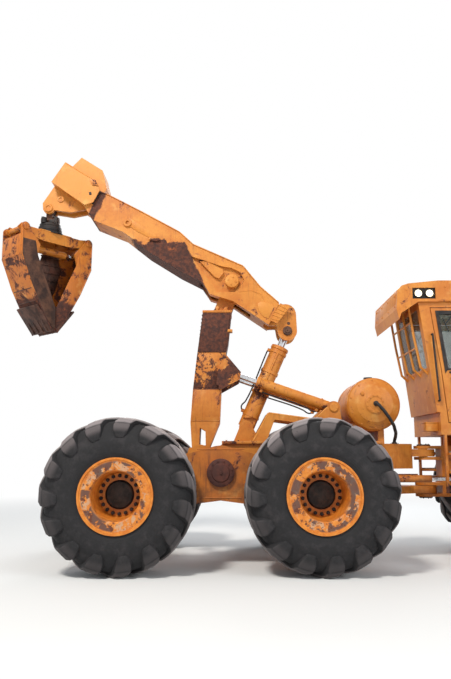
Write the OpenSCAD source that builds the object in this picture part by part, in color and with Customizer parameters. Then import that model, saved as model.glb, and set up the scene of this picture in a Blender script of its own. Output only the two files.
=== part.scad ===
// Six-wheeled grapple skidder: rear frame on two bogies, articulated front frame with cab and engine,
// standing mast, boom, hanging rotator and grapple.
// Millimetres, +X forward, +Y to the machine's left, +Z up, ground at z = 0.
// Side outlines are pairs [x, z] measured from the bogie pivot line, then the whole machine is
// moved by mid_x so that its overall box is centred on the origin.

/* [Wheels] */
// Outer radius of a tyre over its lugs
tyre_r = 915; // [880:1:940]
// Section width of a tyre
tyre_w = 775; // [700:5:800]
// Depth of a tread lug
lug_h = 48; // [30:1:60]
// Lugs on each side of a tyre
lug_count = 15; // [12:1:18]
// Radius of the rim flange
rim_r = 439; // [430:1:450]
// Distance between the middles of a left and a right tyre
track = 2450; // [2420:5:2560]
// Distance between the two wheels of a bogie
bogie_base = 2400; // [2300:10:2500]
// Distance from the bogie pivot line to the front axle
wheelbase = 4250; // [4200:10:4500]

/* [Rear frame] */
// Outside width of the rear frame
frame_w = 840; // [800:5:860]
// Thickness of the frame's side plates
frame_t = 40; // [25:1:50]
// Height of the frame's underside
frame_z0 = 1140; // [1120:5:1150]
// Height of the frame's upper face
frame_z1 = 1530; // [1500:5:1550]
// Height of the bogie pivot line
bogie_z = 1160; // [1140:5:1180]
// Thickness of a bogie beam
bogie_t = 210; // [180:5:220]
// Radius of the axle housing
axle_r = 140; // [120:1:160]

/* [Articulation] */
// Distance from the bogie pivot line to the steering pivot
art_x = 2800; // [2780:5:2850]
// Radius of the steering pins
art_pin_r = 50; // [40:1:60]
// Thickness of a rear hitch ear
ear_t = 100; // [80:1:110]

/* [Mast and boom] */
// Width of the mast
mast_w = 500; // [440:5:520]
// Width of the boom
boom_w = 500; // [460:5:540]
// Radius of the mast's foot pin and of the boom pin
main_pin_r = 50; // [40:1:60]
// Radius of the boom cylinder's barrel
boom_cyl_r = 115; // [100:1:118]
// Radius of a tilt cylinder's barrel
tilt_cyl_r = 75; // [60:1:76]
// Sideways place of each tilt cylinder
tilt_y = 240; // [235:1:245]

/* [Grapple] */
// Turn of the grapple about the rotator, as it hangs
grapple_yaw = 48; // [0:1:90]
// Half the distance between the two tong hinges
tong_half = 540; // [500:5:560]
// Width of a tong
tong_w = 500; // [440:5:540]

/* [Cab] */
// Width of the cab
cab_w = 1280; // [1200:5:1290]
// Thickness of the cab's walls
cab_t = 50; // [40:1:60]
// Height of the cab floor's underside
cab_z0 = 1640; // [1620:5:1680]

/* [Tank] */
// Radius of the tank
tank_r = 355; // [300:5:355]
// Length of the tank's straight part
tank_l = 900; // [700:10:920]

/* [Hidden] */
$fn = 48;

yellow = [0.80, 0.52, 0.20];
rust = [0.33, 0.18, 0.12];
dark = [0.12, 0.12, 0.13];
steel = [0.72, 0.73, 0.75];

// Running clearance between a pin and its bore, on the radius
run = 0.05;
// Gap left between two pieces that only sit against each other
seat_gap = 0.3;

half_w = frame_w / 2;
bogie_wall = 30;
in_w = half_w - frame_t;
wheel_z = tyre_r;
half_track = track / 2;
bead_r = rim_r - 34;
spindle_r = 90;
drum_r = 230;
drum_in = 320;
bogie_y0 = 600;
bogie_y1 = bogie_y0 + bogie_t;

// Pins of the linkages, [x, z] at rest
mast_foot = [-285, 1400];
boom_pin = [150, 3790];
tilt_base = [1520, 2010];
tilt_eye = [170, 2480];
lift_base = [340, 1760];
lift_eye = [925, 3095];
hang_pin = [-2520, 4925];
swing_z = 4770;
rotator_x = hang_pin[0];
hinge_z = 4500;
grab_rel = [150, -200];
lug_r = 65;
inner_w = tong_w - 62;
blade_x1 = 6120;
mid_x = (blade_x1 + rotator_x - (tong_half + lug_r) * cos(grapple_yaw) - tong_w / 2 * sin(grapple_yaw)) / 2;
steer_rear = [2150, 330];
steer_front = [3200, 330];
steer_z = 1070;
steer_rod_x = 2790;
tank_x = 2040;
tank_z = 2050;
tow_eye = [-705, 1255];
tow_r = 32;
tow_w = 60;
blade_pivot = [5150, 760];
blade_cyl_base = [5330, 1390];
blade_cyl_eye = [5905, 760];

// Moves a thing from the working outline to its place in the machine's frame
module place() { translate([-mid_x, 0, 0]) children(); }

// A plate with an outline in x and z, from y0 to y1
module plate(y0, y1) {
  translate([0, y1, 0]) rotate([90, 0, 0]) linear_extrude(y1 - y0) children();
}

// The same plate on both sides of the machine
module plates(y0, y1) {
  plate(y0, y1) children();
  plate(-y1, -y0) children();
}

// A round bar across the machine
module bar_y(p, r, y0, y1) {
  translate([p[0], y1, p[1]]) rotate([90, 0, 0]) cylinder(r = r, h = y1 - y0);
}

// A round bar between two points of the side view
module bar_xz(p, q, r, y = 0) {
  d = q - p;
  translate([p[0], y, p[1]]) rotate([0, atan2(d[0], d[1]), 0]) cylinder(r = r, h = norm(d));
}

// A round bar between two points of the plan view, at height z
module bar_xy(p, q, r, z) {
  d = q - p;
  translate([p[0], p[1], z]) rotate([0, 0, atan2(d[1], d[0])]) rotate([0, 90, 0]) cylinder(r = r, h = norm(d));
}

// A closed outline moved inwards by d, for points that run clockwise as seen from the machine's right
function unit(v) = v / norm(v);
function inset(p, d) = let (n = len(p)) [for (i = [0 : n - 1]) let (
    a = unit(p[i] - p[(i + n - 1) % n]),
    b = unit(p[(i + 1) % n] - p[i]),
    na = [a[1], -a[0]],
    nb = [b[1], -b[0]])
  p[i] + d * (na + nb) / (1 + na * nb)];

function along(p, q, s) = p + (q - p) * s / norm(q - p);

// Outline round two circles, with straight sides tangent to both
module strap(p, q, r1, r2) {
  d = norm(q - p);
  a = atan2(q[1] - p[1], q[0] - p[0]);
  f = acos((r1 - r2) / d);
  translate(p) circle(r1);
  translate(q) circle(r2);
  polygon([
    p + r1 * [cos(a + f), sin(a + f)], p + r1 * [cos(a - f), sin(a - f)],
    q + r2 * [cos(a - f), sin(a - f)], q + r2 * [cos(a + f), sin(a + f)]]);
}

// Wheels

// Columns: radius, distance from the tyre's middle
// Places on a tyre's section
bead_in = 318;
bead_out = 357;
lug_foot_r = 660;
shoulder_y = 300;
groove_y = 25;
cavity_r = 800;
// Turn of a lug from the middle of the tread to its shoulder and to its foot
shoulder_turn = -18;
foot_turn = -21;
// Two columns of points for each lug; the flats between them stand on the ground
columns = 2 * lug_count;
out_round = 1 / cos(180 / columns);
bead_round = (bead_r + seat_gap) * out_round;
tip_r = tyre_r * out_round;
casing_r = tip_r - lug_h;

// Rows of points round the section: radius, side place, turn
tyre_rows = [
  [bead_round, -bead_in, foot_turn], [bead_round, -bead_out, foot_turn], [lug_foot_r, -tyre_w / 2, foot_turn],
  [casing_r, -shoulder_y, shoulder_turn], [casing_r, -groove_y, 0], [tip_r - 8, -shoulder_y, shoulder_turn],
  [tip_r, -groove_y, 0], [tip_r, groove_y, 0], [tip_r - 8, shoulder_y, shoulder_turn],
  [casing_r, groove_y, 0], [casing_r, shoulder_y, shoulder_turn], [lug_foot_r, tyre_w / 2, foot_turn],
  [bead_round, bead_out, foot_turn], [bead_round, bead_in, foot_turn], [cavity_r, bead_in, foot_turn],
  [cavity_r, -bead_in, foot_turn]];
rows = len(tyre_rows);

function spot(row, column) = (column % columns) * rows + row;
// A strip of faces between two columns, along a list of rows; back says which way each is split
function strip(list, i, back) = [for (k = [0 : len(list) - 2]) let (
    a = spot(list[k], i), b = spot(list[k + 1], i), c = spot(list[k + 1], i + 1), d = spot(list[k], i + 1))
  each (back ? [[a, b, d], [b, c, d]] : [[a, b, c], [a, c, d]])];
// The two end walls of a lug, from the column i, where it starts, to i + 1
function lug_walls(foot, shoulder, middle, top_middle, top_shoulder, i, flip) = [
  for (w = [0, 1], t = [[shoulder, foot, top_shoulder], [middle, shoulder, top_shoulder], [middle, top_shoulder, top_middle]])
    let (f = [for (row = t) spot(row, i + w)]) (w == 1) != flip ? [f[2], f[1], f[0]] : f];

// Even columns start a lug of the right side, odd ones a lug of the left side
function tread(i) = i % 2 == 0
  ? concat(strip([2, 5, 6, 4], i, true), strip([9, 10, 11], i, false), lug_walls(2, 3, 4, 6, 5, i, true))
  : concat(strip([2, 3, 4], i, true), strip([9, 7, 8, 11], i, false), lug_walls(11, 10, 9, 7, 8, i, false));

module tyre() {
  points = [for (i = [0 : columns - 1], row = tyre_rows) let (t = 360 * (i - 0.5) / columns + row[2])
    [row[0] * sin(t), row[1], row[0] * cos(t)]];
  sides = [for (i = [0 : columns - 1]) each concat(strip([0, 1, 2], i, true), tread(i), strip([4, 9], i, true),
    strip([11, 12, 13], i, true))];
  cavity = [for (i = [0 : 2 : columns - 1]) each [
    [spot(13, i), spot(14, i), spot(14, i + 2), spot(13, i + 2), spot(13, i + 1)],
    [spot(14, i), spot(15, i), spot(15, i + 2), spot(14, i + 2)],
    [spot(15, i), spot(0, i), spot(0, i + 1), spot(0, i + 2), spot(15, i + 2)]]];
  color(dark) polyhedron(points, concat(sides, cavity), convexity = 6);
}

// Rim with its dished outer side towards +Y
module rim() {
  color(yellow) rotate([-90, 0, 0]) difference() {
    rotate_extrude($fn = 60) polygon([
      [spindle_r + run, -drum_in], [drum_r, -drum_in], [drum_r, -30], [275, -30], [312, 330], [380, 330],
      [380, -386], [rim_r, -386], [rim_r, -362], [bead_r, -362], [bead_r, 362], [rim_r, 362], [rim_r, 386],
      [rim_r - 22, 386], [rim_r - 30, 374], [300, 366], [286, 352], [258, 32], [250, 20], [175, 20], [175, 5], [0, 5],
      [0, -20], [spindle_r + run, -20]]);
  }
}

// Columns: x, side
wheel_places = [[-bogie_base / 2, -1], [-bogie_base / 2, 1], [bogie_base / 2, -1], [bogie_base / 2, 1],
  [wheelbase, -1], [wheelbase, 1]];

module at_hub(i) {
  w = wheel_places[i];
  place() translate([w[0], w[1] * half_track, wheel_z]) children();
}

module at_wheel(i) { at_hub(i) rotate([0, 0, wheel_places[i][1] > 0 ? 0 : 180]) children(); }

// Bogies and rear axle

module bogie(side) {
  y0 = side > 0 ? bogie_y0 : -bogie_y1;
  color(rust) place() {
    difference() {
      plate(y0, y0 + bogie_t) for (s = [-1, 1])
        strap([0, bogie_z], [s * bogie_base / 2, wheel_z], 340, 250);
      plate(y0 + bogie_wall, y0 + bogie_t - bogie_wall) for (s = [-1, 1])
        strap([0, bogie_z], [s * bogie_base / 2, wheel_z], 340 - bogie_wall, 250 - bogie_wall);
    }
    for (s = [-1, 1]) {
      bar_y([s * bogie_base / 2, wheel_z], 150, side > 0 ? bogie_y1 : -bogie_y1 - 60,
        side > 0 ? bogie_y1 + 60 : -bogie_y1);
      bar_y([s * bogie_base / 2, wheel_z], spindle_r, side > 0 ? bogie_y1 : -half_track + 40,
        side > 0 ? half_track - 40 : -bogie_y1);
    }
    bar_y([0, bogie_z], 180, side > 0 ? bogie_y1 : -bogie_y1 - 35, side > 0 ? bogie_y1 + 35 : -bogie_y1);
  }
}

module rear_axle() {
  color(rust) place() {
    bar_y([0, bogie_z], axle_r, -bogie_y0 + seat_gap, bogie_y0 - seat_gap);
    translate([0, 0, bogie_z]) rotate([0, 90, 0]) rotate_extrude($fn = 40)
      polygon([[0, -230], [150, -200], [270, -60], [270, 60], [150, 200], [80, 380], [0, 380]]);
  }
}

// Rear frame

module fork_arm(z0, z1, x1, w1) {
  translate([0, 0, z0]) linear_extrude(z1 - z0)
    polygon([[2100, -half_w], [x1, -w1], [x1, w1], [2100, half_w]]);
}

module rear_ear(zc) {
  translate([0, 0, zc - ear_t / 2]) linear_extrude(ear_t) difference() {
    union() {
      translate([art_x, 0]) circle(145);
      translate([art_x - 260, -145]) square([260, 290]);
    }
    translate([art_x, 0]) circle(art_pin_r + run);
  }
}

upper_ear_z = 1410;
lower_ear_z = 920;

module tower_outline() {
  difference() {
    union() {
      polygon([[430, frame_z1], [640, 1935], [1260, 1850], [1440, 2010], [1600, 2020], [1660, frame_z1]]);
      translate(tilt_base) circle(90);
    }
    polygon([[620, frame_z1 + 60], [720, 1850], [1180, 1790], [1100, frame_z1 + 60]]);
  }
}

module rear_frame() {
  color(yellow) place() {
    difference() {
      union() {
        plates(in_w, half_w) polygon([[-640, 1180], [-640, 1320], [-560, 1400], [-120, 1400], [20, frame_z1],
          [2150, frame_z1], [2150, frame_z0 - 240], [900, frame_z0 - 240], [700, frame_z0 - 20], [-560, frame_z0 - 20]]);
        translate([20, -half_w, frame_z1 - 25]) cube([2130, frame_w, 25]);
        translate([-640, -in_w, 1180]) cube([40, 2 * in_w, 150]);
        translate([2100, -half_w, lower_ear_z - 50]) cube([50, frame_w, frame_z1 - lower_ear_z + 50]);
        translate([900, -in_w, frame_z0 - 240]) cube([1200, 2 * in_w, 20]);
        fork_arm(frame_z0 + 60, frame_z1, art_x - 200, 150);
        fork_arm(lower_ear_z - ear_t / 2, lower_ear_z + ear_t / 2, art_x - 200, 150);
      }
      bar_y([0, bogie_z], axle_r + 0.5, -half_w - 1, half_w + 1);
    }
    rear_ear(upper_ear_z);
    rear_ear(lower_ear_z);
    // Ears of the mast's foot
    plates(270, 310) difference() {
      union() {
        polygon([[-520, 1190], [-430, 1480], [-140, 1480], [-60, 1310], [-145, 1310], [-145, 1190]]);
        translate(mast_foot) circle(120);
      }
      translate(mast_foot) circle(main_pin_r + run);
    }
    plates(305, in_w + 5) polygon([[-520, 1190], [-480, 1310], [-145, 1310], [-145, 1190]]);
    // Ears and pin of the boom cylinder's foot
    plates(75, 100) union() {
      polygon([[150, frame_z1 - 10], [250, 1760], [430, 1760], [560, frame_z1 - 10]]);
      translate(lift_base) circle(95);
    }
    bar_y(lift_base, 45, -75, 75);
    // Tower of the tilt cylinders, with their pins
    plates(140, 158) tower_outline();
    plates(322, 345) tower_outline();
    for (s = [-1, 1]) bar_y(tilt_base, 40, s > 0 ? 158 : -322, s > 0 ? 322 : -158);
    plates(158, 322) polygon([[700, 1850], [700, 1875], [1180, 1810], [1180, 1785]]);
    // Ears of the steering cylinders
    for (s = [-1, 1], z = [steer_z - 62, steer_z + 42]) translate([0, 0, z]) linear_extrude(20)
      polygon([[2145, s * 250], [2200, s * 270], [2200, s * 390], [2145, s * half_w]]);
    for (s = [-1, 1]) translate([2230, s * 330, steer_z - 42]) cylinder(r = 30, h = 84);
    for (s = [-1, 1], z = [steer_z - 62, steer_z + 42])
      translate([2195, s * 330 - 45, z]) cube([80, 90, 20]);
    // Saddles of the tank
    difference() {
      for (x = [tank_x - 260, tank_x + 60]) translate([x, -360, frame_z1 - 10]) cube([80, 720, 340]);
      bar_y([tank_x, tank_z], tank_r + seat_gap, -361, 361);
    }
    // Towing eye at the rear, with an upright hole
    translate([0, 0, tow_eye[1] - tow_w / 2]) difference() {
      union() {
        translate([tow_eye[0], 0, 0]) cylinder(r = 75, h = tow_w);
        linear_extrude(tow_w) polygon([[tow_eye[0], -75], [tow_eye[0], 75], [-635, 130], [-635, -130]]);
      }
      translate([tow_eye[0], 0, -1]) cylinder(r = tow_r, h = tow_w + 2);
    }
  }
}

// Tank

module tank() {
  color(yellow) place() translate([tank_x, 0, tank_z]) rotate([90, 0, 0]) rotate_extrude($fn = 60)
    polygon([[0, -tank_l / 2 - 110], [120, -tank_l / 2 - 100], [240, -tank_l / 2 - 62], [tank_r - 20, -tank_l / 2],
      [tank_r, -tank_l / 2 + 30], [tank_r, tank_l / 2 - 30], [tank_r - 20, tank_l / 2],
      [240, tank_l / 2 + 62], [120, tank_l / 2 + 100], [0, tank_l / 2 + 110]]);
}

// Route of the hose from the tank's end to the deck, [x, y, z]
tank_end = -tank_l / 2 - 110 - seat_gap;
hose_route = [[2045, tank_end, 2052], [2045, tank_end - 26, 2052], [2056, tank_end - 42, 2042], [2075, tank_end - 52, 2024],
  [2102, tank_end - 58, 1990], [2135, tank_end - 60, 1950], [2170, tank_end - 55, 1902], [2205, tank_end - 44, 1855],
  [2238, tank_end - 22, 1807], [2270, tank_end + 10, 1760], [2294, (tank_end - 440) / 2 + 5, 1716], [2315, -450, 1675],
  [2325, -402, 1646], [2332, -355, 1620], [2335, -292, 1583], [2335, -268, 1556], [2335, -268, frame_z1 + seat_gap]];

function ring_at(i, r, n) = let (
    a = hose_route[max(i - 1, 0)],
    b = hose_route[min(i + 1, len(hose_route) - 1)],
    t = (b - a) / norm(b - a),
    u = cross(t, [0, 0.3, 1]) / norm(cross(t, [0, 0.3, 1])),
    v = cross(t, u))
  [for (k = [0 : n - 1]) hose_route[i] + r * (u * cos(360 * k / n) + v * sin(360 * k / n))];

module tank_hose() {
  n = 10;
  m = len(hose_route);
  points = [for (i = [0 : m - 1]) each ring_at(i, i < m - 1 ? 22 : 21, n)];
  sides = [for (i = [0 : m - 2], k = [0 : n - 1])
    [i * n + k, i * n + (k + 1) % n, (i + 1) * n + (k + 1) % n, (i + 1) * n + k]];
  ends = [[for (k = [n - 1 : -1 : 0]) k], [for (k = [0 : n - 1]) (m - 1) * n + k]];
  color(dark) place() polyhedron(points, concat(sides, ends));
}

// Mast

module mast() {
  color(yellow) place() {
    difference() {
      union() {
        plate(-mast_w / 2, mast_w / 2) polygon([[-420, 1820], [-390, 2260], [-340, 2710], [-260, 3350], [140, 3350],
          [100, 2950], [60, 2750], [0, 2260], [-20, 1820]]);
        plate(-mast_w / 2, mast_w / 2) polygon([[-420, 1820], [-20, 1820], [-175, 1440], [-395, 1440]]);
        plate(-mast_w / 2, mast_w / 2) translate(mast_foot) circle(110);
      }
      plate(-mast_w / 2 - 1, mast_w / 2 + 1) polygon([[-300, 1510], [-210, 1510], [-215, 1700], [-290, 1745]]);
      plate(-190, 190) polygon([[-330, 1900], [-330, 2260], [-250, 3300], [80, 3300], [40, 2950], [-60, 2260], [-60, 1900]]);
    }
    plate(-mast_w / 2 - 12, mast_w / 2 + 12) polygon([[-265, 3350], [-262, 3375], [148, 3375], [145, 3350]]);
    // Head lug that carries the boom
    difference() {
      plate(-110, 110) union() {
        polygon([[-120, 3375], [30, 3740], [270, 3740], [140, 3375]]);
        translate(boom_pin) circle(135);
      }
      bar_y(boom_pin, main_pin_r + run, -111, 111);
    }
    // Brackets of the tilt cylinders
    for (s = [-1, 1], y = [s * tilt_y - 65, s * tilt_y + 40]) plate(y, y + 25) {
      polygon([[-40, 2270], [20, 2750], [60, 2750], [270, 2500], [250, 2400], [0, 2262]]);
      translate(tilt_eye) circle(70);
    }
    plates(mast_w / 2 - 10, tilt_y + 65) polygon([[-70, 2330], [-25, 2700], [54, 2700], [5, 2300]]);
    for (s = [-1, 1]) bar_y(mast_foot, main_pin_r, s > 0 ? mast_w / 2 : -mast_w / 2 - 65,
      s > 0 ? mast_w / 2 + 65 : -mast_w / 2);
  }
}

// Boom

// Runs clockwise
boom_outline = [[-1840, 4700], [-1990, 4930], [-1900, 5212], [-1610, 5060], [-1120, 4800], [-600, 4510], [-410, 4330], [300, 4010],
  [540, 3710], [810, 3470], [660, 3170], [160, 3510], [-160, 3610], [-280, 3790], [-590, 3950], [-1050, 4240],
  [-1400, 4520]];

boom_panel = [[-440, 4165], [-254, 4105], [-10, 4018], [145, 3990], [255, 3935], [325, 3815], [235, 3690],
  [190, 3640], [-70, 3640], [-110, 3735]];
panel_rib = [[-302, 4083], [-200, 4077], [17, 3972], [24, 3917], [-37, 3839], [-92, 3860]];
tail_bar = [[822, 3474], [955, 3418], [777, 3187], [684, 3227]];

module boom() {
  color(yellow) place() {
    difference() {
      plate(-boom_w / 2, boom_w / 2) polygon(boom_outline);
      plate(-boom_w / 2 + 22, boom_w / 2 - 22) difference() {
        polygon(inset(boom_outline, 22));
        // Bulkheads at the pivot and at the tail
        translate(boom_pin) circle(110);
        polygon([[600, 3100], [560, 3800], [900, 3800], [900, 3100]]);
      }
      // Slot for the mast's head
      plate(-118, 118) polygon([[-700, 3700], [-260, 3830], [-60, 3960], [200, 3960], [360, 3830], [420, 3300], [-160, 3300]]);
      // Hollow of the tail, for the cylinder's eye
      plate(-122, 122) polygon([[540, 3100], [690, 3400], [900, 3520], [900, 3100]]);
      // Sunk panels of the flanks
      plates(205, boom_w / 2 + 1) polygon(boom_panel);
    }
    plates(190, boom_w / 2 - 1) difference() {
      polygon(inset(boom_panel, -14));
      polygon(boom_panel);
    }
    plates(190, 206) polygon(inset(boom_panel, -14));
    plates(200, 246) polygon(panel_rib);
    bar_y(boom_pin, main_pin_r, -118, 118);
    plates(200, boom_w / 2 + 22) translate(boom_pin) circle(100);
    plates(boom_w / 2 - 10, boom_w / 2 + 12) polygon(tail_bar);
    // Clevis of the lift cylinder
    plates(125, 175) union() {
      strap([900, 3330], lift_eye, 150, 135);
      polygon([[660, 3170], [810, 3470], [900, 3480], [930, 3180]]);
    }
  }
}

head_outline = [[-2450, 5260], [-2260, 5560], [-1810, 5280], [-1750, 5130], [-1840, 4950], [-1960, 4910]];
crown_outline = [[-2180, 5510], [-2040, 5660], [-1730, 5460], [-1660, 5180], [-1700, 5110], [-1760, 5128], [-1812, 5278]];

module boom_head() {
  color(yellow) place() {
    difference() {
      plate(-300, 300) polygon(head_outline);
      plate(-boom_w / 2 - seat_gap, boom_w / 2 + seat_gap) polygon(inset(boom_outline, -seat_gap));
    }
    difference() {
      plate(-230, 230) polygon(crown_outline);
      plate(-boom_w / 2 - seat_gap, boom_w / 2 + seat_gap) polygon(inset(boom_outline, -seat_gap));
    }
    plates(75, 125) difference() {
      union() {
        polygon([[-2450, 5260], [-2610, 5000], [-2600, 4900], [-2440, 4900], [-2200, 4860], [-1960, 4910]]);
        translate(hang_pin) circle(80);
      }
      polygon(inset(boom_outline, -seat_gap));
    }
    bar_y(hang_pin, 35, -75, 75);
  }
}

// Hanging link, rotator and grapple

module hang_link() {
  color(rust) place() {
    difference() {
      union() {
        bar_y(hang_pin, 68, -68, 68);
        translate([rotator_x - 45, -68, swing_z - 10]) cube([90, 136, 140]);
        translate([rotator_x - 68, 0, swing_z]) rotate([0, 90, 0]) cylinder(r = 62, h = 136);
      }
      bar_y(hang_pin, 35 + run, -69, 69);
      translate([rotator_x - 69, 0, swing_z]) rotate([0, 90, 0]) cylinder(r = 30 + run, h = 138);
    }
  }
}

module swivel_block() {
  color(dark) place() translate([rotator_x, 0, 0]) {
    for (s = [-1, 1]) translate([s > 0 ? 75 : -115, -70, 4705]) cube([40, 140, 115]);
    translate([-75, 0, swing_z]) rotate([0, 90, 0]) cylinder(r = 30, h = 150);
    translate([0, 0, 4670]) cylinder(r = 150, h = 35);
    translate([0, 0, 4640]) cylinder(r = 60, h = 30);
  }
}

module rotator() {
  color(dark) place() translate([rotator_x, 0, 0]) difference() {
    union() {
      translate([0, 0, 4560]) cylinder(r = 165, h = 100);
      translate([0, 0, 4540 + seat_gap]) cylinder(r = 200, h = 20);
    }
    translate([0, 0, 4620]) cylinder(r = 60 + run, h = 50);
  }
}

module in_grapple() { place() translate([rotator_x, 0, 0]) rotate([0, 0, grapple_yaw]) children(); }

module grapple_head() {
  color(yellow) in_grapple() {
    translate([-250, -170, 4515]) cube([500, 340, 25]);
    plates(150, 170) polygon([[-560, 4440], [-620, 4500], [-560, 4570], [-250, 4515], [250, 4515], [560, 4570],
      [620, 4500], [560, 4440], [200, 4390], [-200, 4390]]);
    bar_y([-tong_half, hinge_z], 40, -tong_w / 2, tong_w / 2);
    bar_y([tong_half, hinge_z], 40, -inner_w / 2, inner_w / 2);
  }
}

// One tong, hinged at -tong_half, with its tip near the middle
module tong(w, tip_x) {
  difference() {
    union() {
      for (s = [-1, 1]) plate(s > 0 ? w / 2 - 25 : -w / 2, s > 0 ? w / 2 : -w / 2 + 25) difference() {
        union() {
          polygon([[-tong_half - lug_r, hinge_z], [-tong_half - 60, 4100], [-tong_half + 120, 3700], [-tong_half + 330, 3330],
            [tip_x, 3085], [tip_x + 40, 3110], [-tong_half + 480, 3420], [-tong_half + 290, 3760],
            [-tong_half + 190, 4100], [-tong_half + 240, 4290], [-tong_half + lug_r, hinge_z]]);
          translate([-tong_half, hinge_z]) circle(lug_r);
        }
        translate([-tong_half, hinge_z]) circle(40 + run);
      }
      plate(-w / 2, w / 2) polygon([[-tong_half - 60, 4100], [-tong_half + 120, 3700], [-tong_half + 330, 3330],
        [tip_x, 3085], [tip_x + 12, 3110], [-tong_half + 350, 3345], [-tong_half + 145, 3708], [-tong_half - 32, 4100]]);
    }
  }
}

module tong_left() {
  color(yellow) in_grapple() {
    tong(tong_w, -48);
    difference() {
      plates(190, tong_w / 2 - 24) translate([-tong_half + grab_rel[0], hinge_z + grab_rel[1]]) circle(60);
    }
    bar_y([-tong_half + grab_rel[0], hinge_z + grab_rel[1]], 30, -190, 190);
  }
}

module tong_right() {
  color(yellow) in_grapple() mirror([1, 0, 0]) {
    tong(inner_w, -48);
    bar_y([-tong_half + grab_rel[0], hinge_z + grab_rel[1]], 25, 70, inner_w / 2 - 25);
    bar_y([-tong_half + grab_rel[0], hinge_z + grab_rel[1]], 25, -inner_w / 2 + 25, -70);
  }
}

grab_z = hinge_z + grab_rel[1];
grab_x = tong_half - grab_rel[0];

module grab_barrel() {
  color(yellow) in_grapple() difference() {
    union() {
      bar_y([-grab_x, grab_z], 52, -60, 60);
      bar_xz([-grab_x + 20, grab_z], [270, grab_z], 52);
    }
    bar_y([-grab_x, grab_z], 30 + run, -61, 61);
    bar_xz([-grab_x + 100, grab_z], [271, grab_z], 30 + run);
  }
}

module grab_rod() {
  color(steel) in_grapple() union() {
    bar_xz([-grab_x + 120, grab_z], [grab_x - 30, grab_z], 30);
    bar_y([grab_x, grab_z], 48, -60, 60);
  }
}

// Cylinders of the mast and boom

module tilt_barrels() {
  gland = along(tilt_eye, tilt_base, 330);
  color(yellow) place() for (s = [-1, 1]) difference() {
    union() {
      bar_xz(gland, tilt_base, tilt_cyl_r, s * tilt_y);
      bar_y(tilt_base, 78, s * tilt_y - 70, s * tilt_y + 70);
    }
    bar_y(tilt_base, 40 + run, s * tilt_y - 90, s * tilt_y + 90);
    bar_xz(along(tilt_eye, tilt_base, 320), along(tilt_base, tilt_eye, 110), 38 + run, s * tilt_y);
  }
}

module tilt_rods() {
  color(steel) place() for (s = [-1, 1]) {
    bar_xz(along(tilt_eye, tilt_base, 30), along(tilt_eye, tilt_base, 1150), 38, s * tilt_y);
    bar_y(tilt_eye, 50, s * tilt_y - 30, s * tilt_y + 30);
  }
}

module boom_barrel() {
  color(yellow) place() difference() {
    union() {
      bar_xz(lift_base, along(lift_eye, lift_base, 225), boom_cyl_r);
      bar_y(lift_base, 95, -65, 65);
    }
    bar_y(lift_base, 45 + run, -69, 69);
    translate([lift_base[0], 0, lift_base[1]]) for (s = [-1, 1])
      translate([-150, s > 0 ? 68 : -168, -150]) cube([300, 100, 280]);
    bar_xz(along(lift_base, lift_eye, 200), lift_eye, 55 + run);
  }
}

module boom_rod() {
  color(steel) place() union() {
    bar_xz(along(lift_base, lift_eye, 320), along(lift_eye, lift_base, 50), 55);
    bar_y(lift_eye, 80, -118, 118);
  }
}

// Steering cylinders, side 1 left and -1 right

module steer_barrel(side) {
  y = side * steer_rear[1];
  color(yellow) place() difference() {
    union() {
      translate([2230, y, steer_z - 38]) cylinder(r = 55, h = 76);
      translate([2230, y - 34, steer_z - 36]) cube([90, 68, 72]);
      bar_xy([2296, y], [steer_rod_x, y], 48, steer_z);
    }
    translate([2230, y, steer_z - 60]) cylinder(r = 30 + run, h = 120);
    bar_xy([2309, y], [steer_rod_x + 10, y], 28 + run, steer_z);
  }
}

module steer_rod(side) {
  y = side * steer_rear[1];
  color(steel) place() {
    bar_xy([2530, y], [steer_front[0] - 20, y], 28, steer_z);
    translate([steer_front[0], y, steer_z - 32]) cylinder(r = 45, h = 64);
  }
}

// Front frame

module front_clevis(zc) {
  for (z = [zc - ear_t / 2 - 45, zc + ear_t / 2 + 5]) translate([0, 0, z]) linear_extrude(40) union() {
    translate([art_x, 0]) circle(135);
    translate([art_x, -135]) square([330, 270]);
  }
  translate([art_x, 0, zc - ear_t / 2 - 45]) cylinder(r = art_pin_r, h = ear_t + 90);
}

front_z0 = 1150;
front_z1 = 1560;

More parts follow.
